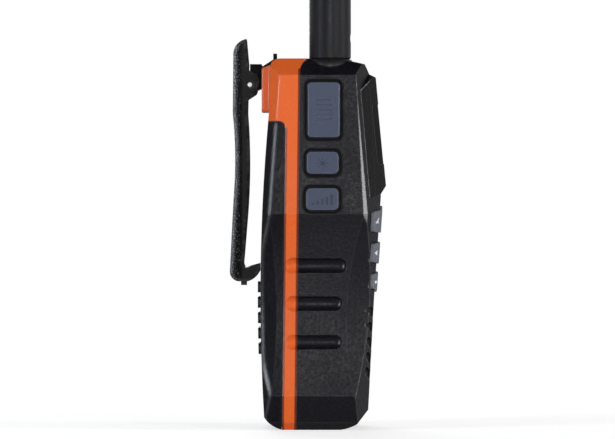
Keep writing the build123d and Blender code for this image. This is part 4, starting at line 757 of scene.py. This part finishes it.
keyMarks = {
    "number": 4.0, "numberAt": 1.4, "arrow": 2.3, "small": 1.1, "endDot": 0.6,
    "scanAt": (-2.6, 0.2), "scanSize": 0.8, "ringWidth": 0.6, "ringDot": 0.7,
    "menuAt": 0.8, "menuPitch": 1.25, "menuBar": (4.0, 0.55),
    "crossAt": -0.8, "crossBar": (4.0, 0.6),
    "outerDrop": 0.4, "levels": dict(count=3, pitch=0.6, width=0.35, tallest=2.2),
}
keyEnds = {"channel_key": -6.9, "scan_key": 6.9, "left_key": -6.7, "right_key": 6.7,
           "menu_key": -6.4, "clear_key": 6.4}
arrowTurns = {"up_key": 0.0, "down_key": 180.0, "left_key": 90.0, "right_key": -90.0}
for name in wearing["greyKeys"]:
    drawing = bmesh.new()
    if name in arrowTurns:
        drawTriangle(drawing, 0.0, 0.0, keyMarks["arrow"], arrowTurns[name])
    if name == "channel_key":
        drawNumber(drawing, keyMarks["numberAt"], 0.0, "16", keyMarks["number"])
    if name == "scan_key":
        for u in keyMarks["scanAt"]:
            drawTriangle(drawing, u, 0.0, keyMarks["arrow"] * keyMarks["scanSize"], -90.0)
    if name == "enter_key":
        drawRing(drawing, 0.0, 0.0, keyMarks["arrow"], keyMarks["ringWidth"])
        drawDisc(drawing, 0.0, 0.0, keyMarks["ringDot"])
    if name == "menu_key":
        for step in (-1, 0, 1):
            drawBar(drawing, keyMarks["menuAt"], keyMarks["menuPitch"] * step,
                    *keyMarks["menuBar"])
    if name == "clear_key":
        for turn in (45.0, -45.0):
            drawBar(drawing, keyMarks["crossAt"], 0.0, *keyMarks["crossBar"], turn)
    if name in ("channel_key", "scan_key"):
        drawLevels(drawing, keyEnds[name], -keyMarks["outerDrop"], **keyMarks["levels"])
    if name in ("left_key", "right_key"):
        drawTriangle(drawing, keyEnds[name], 0.0, keyMarks["small"], arrowTurns[name])
    if name in ("menu_key", "clear_key"):
        drawDisc(drawing, keyEnds[name], 0.0, keyMarks["endDot"])
    pressOn(drawing, name.replace("key", "legend"), name, "front", name,
            "whitePrint", middleOf(name))

sideMarks = {"levels": dict(count=5, pitch=1.7, width=0.9, tallest=3.8), "sun": 2.2}
drawing = bmesh.new()
drawLevels(drawing, 0.0, 0.0, **sideMarks["levels"])
pressOn(drawing, "squelch_levels", "squelch_button", "left", "squelch",
        "slatePrint", middleOf("squelch_button"))
drawing = bmesh.new()
drawSun(drawing, 0.0, 0.0, sideMarks["sun"])
pressOn(drawing, "lamp_sun", "lamp_button", "left", "lamp", "slatePrint",
        middleOf("lamp_button"))

# painted shade: the screws' cross recesses are drawn as thin black sheets pressed onto the heads
screwCross = {"length": 2.2, "width": 0.5, "turns": (20.0, 110.0), "headInset": 2.3}


def drawCross():
    drawing = bmesh.new()
    for turn in screwCross["turns"]:
        drawBar(drawing, 0.0, 0.0, screwCross["length"], screwCross["width"], turn)
    return drawing


pressOn(drawCross(), "accessory_screw_cross_shade", "accessory_screw", "right", "radio",
        "blackRubber", middleOf("accessory_screw"))
low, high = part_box("case_screws")
headInset = screwCross["headInset"] * mm
for side, x in (("left", low[0] + headInset), ("right", high[0] - headInset)):
    centre = Vector((x, 0.0, high[2] - headInset))
    pressOn(drawCross(), f"case_screw_cross_shade_{side}", "case_screws", "back", "radio",
            "blackRubber", centre)

pointer = {"length": 4.6, "width": 0.7, "out": -3.4}
drawing = bmesh.new()
drawBar(drawing, 0.0, pointer["out"], pointer["width"], pointer["length"])
pressOn(drawing, "volume_pointer", "volume_knob", "top", "volume", "whitePrint",
        middleOf("volume_knob"))

print("stage: camera")

scene.view_settings.view_transform = "Standard"
# a long lens square to the push-to-talk side: the width it covers and its middle, in
# millimetres, with clipEnd in metres
sideView = {"width": 228.8, "middleY": 3.9, "middleZ": 78.1, "faceX": -20.0, "lens": 300.0,
            "sensor": 36.0, "clipEnd": 100.0}
camera = bpy.data.cameras.new("Camera")
camera.lens = sideView["lens"]
camera.sensor_width = sideView["sensor"]
camera.clip_end = sideView["clipEnd"]
cameraObject = bpy.data.objects.new("Camera", camera)
scene.collection.objects.link(cameraObject)
away = sideView["width"] * sideView["lens"] / sideView["sensor"]
cameraPlace = Vector((sideView["faceX"] - away, sideView["middleY"], sideView["middleZ"]))
cameraObject.location = cameraPlace * mm
cameraObject.rotation_euler = (math.radians(90), 0, math.radians(-90))
scene.camera = cameraObject

print("stage: floor and world")

# metres; lift is the floor's own glow, which fades to plain white away from the radio
floorLook = {"half": 12.0, "lift": 0.56, "fade": (0.08, 0.28), "roughness": 0.9, "specular": 0.1,
             "mottleScale": 40.0, "mottle": (0.3, 0.7), "dark": (0.79, 0.79, 0.79, 1),
             "pale": (0.81, 0.81, 0.81, 1)}
floorMesh = bmesh.new()
bmesh.ops.create_grid(floorMesh, x_segments=1, y_segments=1, size=floorLook["half"])
floorData = bpy.data.meshes.new("Floor")
floorMesh.to_mesh(floorData)
floorMesh.free()
floor = bpy.data.objects.new("Floor", floorData)
scene.collection.objects.link(floor)


def seenRays(tree, at):
    # camera, glossy and transmission rays, which all see the white background
    path = addNode(tree, "ShaderNodeLightPath", at)
    either = mathNode(tree, "MAXIMUM", path.outputs["Is Camera Ray"],
                      path.outputs["Is Glossy Ray"])
    return mathNode(tree, "MAXIMUM", either, path.outputs["Is Transmission Ray"], (150, 0))


def mixShaders(tree, factor, a, b, at):
    node = addNode(tree, "ShaderNodeMixShader", at)
    for socket, value in zip(node.inputs, (factor, a, b)):
        tree.links.new(value, socket)
    return node.outputs[0]


floorMaterial = bpy.data.materials.new("PaleFloor")
floorMaterial.use_nodes = True
tree = floorMaterial.node_tree
shader = tree.nodes["Principled BSDF"]
setInputs(shader, Roughness=floorLook["roughness"], Specular_IOR_Level=floorLook["specular"])
coordinates = addNode(tree, "ShaderNodeTexCoord", (-900, -200)).outputs["Object"]
mottle = noiseNode(tree, coordinates, floorLook["mottleScale"], (-650, 0))
factor = rangeNode(tree, mottle.outputs["Fac"], floorLook["mottle"], at=(-450, 0))
pale = mixColour(tree, factor, floorLook["dark"], floorLook["pale"], (-250, 0))
tree.links.new(pale, shader.inputs["Base Color"])
reach = addNode(tree, "ShaderNodeVectorMath", (-650, -300), operation="LENGTH")
tree.links.new(coordinates, reach.inputs[0])
fade = rangeNode(tree, reach.outputs["Value"], floorLook["fade"], at=(-400, -300))
lift = addNode(tree, "ShaderNodeEmission", (0, 200))
setInputs(lift, Strength=floorLook["lift"])
white = addNode(tree, "ShaderNodeEmission", (0, 50))
setInputs(white, Strength=1.0)
lifted = addNode(tree, "ShaderNodeAddShader", (300, 300))
tree.links.new(lift.outputs[0], lifted.inputs[0])
tree.links.new(shader.outputs[0], lifted.inputs[1])
faded = mixShaders(tree, fade, lifted.outputs[0], white.outputs[0], (500, 200))
shown = mixShaders(tree, seenRays(tree, (-400, 300)), shader.outputs[0], faded, (700, 200))
tree.links.new(shown, tree.nodes["Material Output"].inputs["Surface"])
floorData.materials.append(floorMaterial)

# the strength of the world at the sides and overhead: for the rays that see it, and for soft light
studio = {"seen": (1.0, 0.20), "seenFrom": (0.35, 0.85), "soft": (0.30, 0.05),
          "softFrom": (0.2, 0.8), "colour": (1, 1, 1, 1)}
world = bpy.data.worlds.new("Studio")
scene.world = world
world.use_nodes = True
tree = world.node_tree
direction = addNode(tree, "ShaderNodeTexCoord", (-900, 300)).outputs["Generated"]
height = splitAxes(tree, direction, (-700, 300))["Z"]
soft = tree.nodes["Background"]
seen = addNode(tree, "ShaderNodeBackground", (0, 200))
for name, node, at in (("soft", soft, (-500, 500)), ("seen", seen, (-500, 300))):
    strength = rangeNode(tree, height, studio[name + "From"], studio[name], at)
    setInputs(node, Color=studio["colour"])
    tree.links.new(strength, node.inputs["Strength"])
chosen = mixShaders(tree, seenRays(tree, (-400, 0)), soft.outputs[0], seen.outputs[0], (300, 100))
tree.links.new(chosen, tree.nodes["World Output"].inputs["Surface"])

print("stage: lights")

softBoxes = {
    "keyBox": dict(at=(-2.6, 0.0, 0.24), aim=(0, 0, 0.06), size=(0.5, 0.5), watts=26.5),
    "frontStrip": dict(at=(-1.13, -0.82, 0.16), aim=(0, 0, 0.07), size=(0.16, 0.5), watts=7.5),
    "frontRim": dict(at=(-0.29, -1.16, 0.20), aim=(0, 0, 0.09), size=(0.20, 0.8), watts=7.5),
    "backRim": dict(at=(-0.69, 0.98, 0.20), aim=(0, 0, 0.09), size=(0.22, 0.8), watts=8.0,
                    colour=(0.84, 0.91, 1.0)),
    "farFill": dict(at=(1.3, 0.2, 0.45), aim=(0, 0, 0.09), size=(0.6, 0.6), watts=7.0),
}
for name, box in softBoxes.items():
    light = bpy.data.lights.new(name, "AREA")
    light.shape = "RECTANGLE"
    light.size, light.size_y = box["size"]
    light.energy = box["watts"]
    light.color = box.get("colour", (1.0, 1.0, 1.0))
    lamp = bpy.data.objects.new(name, light)
    scene.collection.objects.link(lamp)
    lamp.location = box["at"]
    aim = Vector(box["aim"]) - Vector(box["at"])
    lamp.rotation_euler = aim.to_track_quat("-Z", "Y").to_euler()

print("stage: sizes")
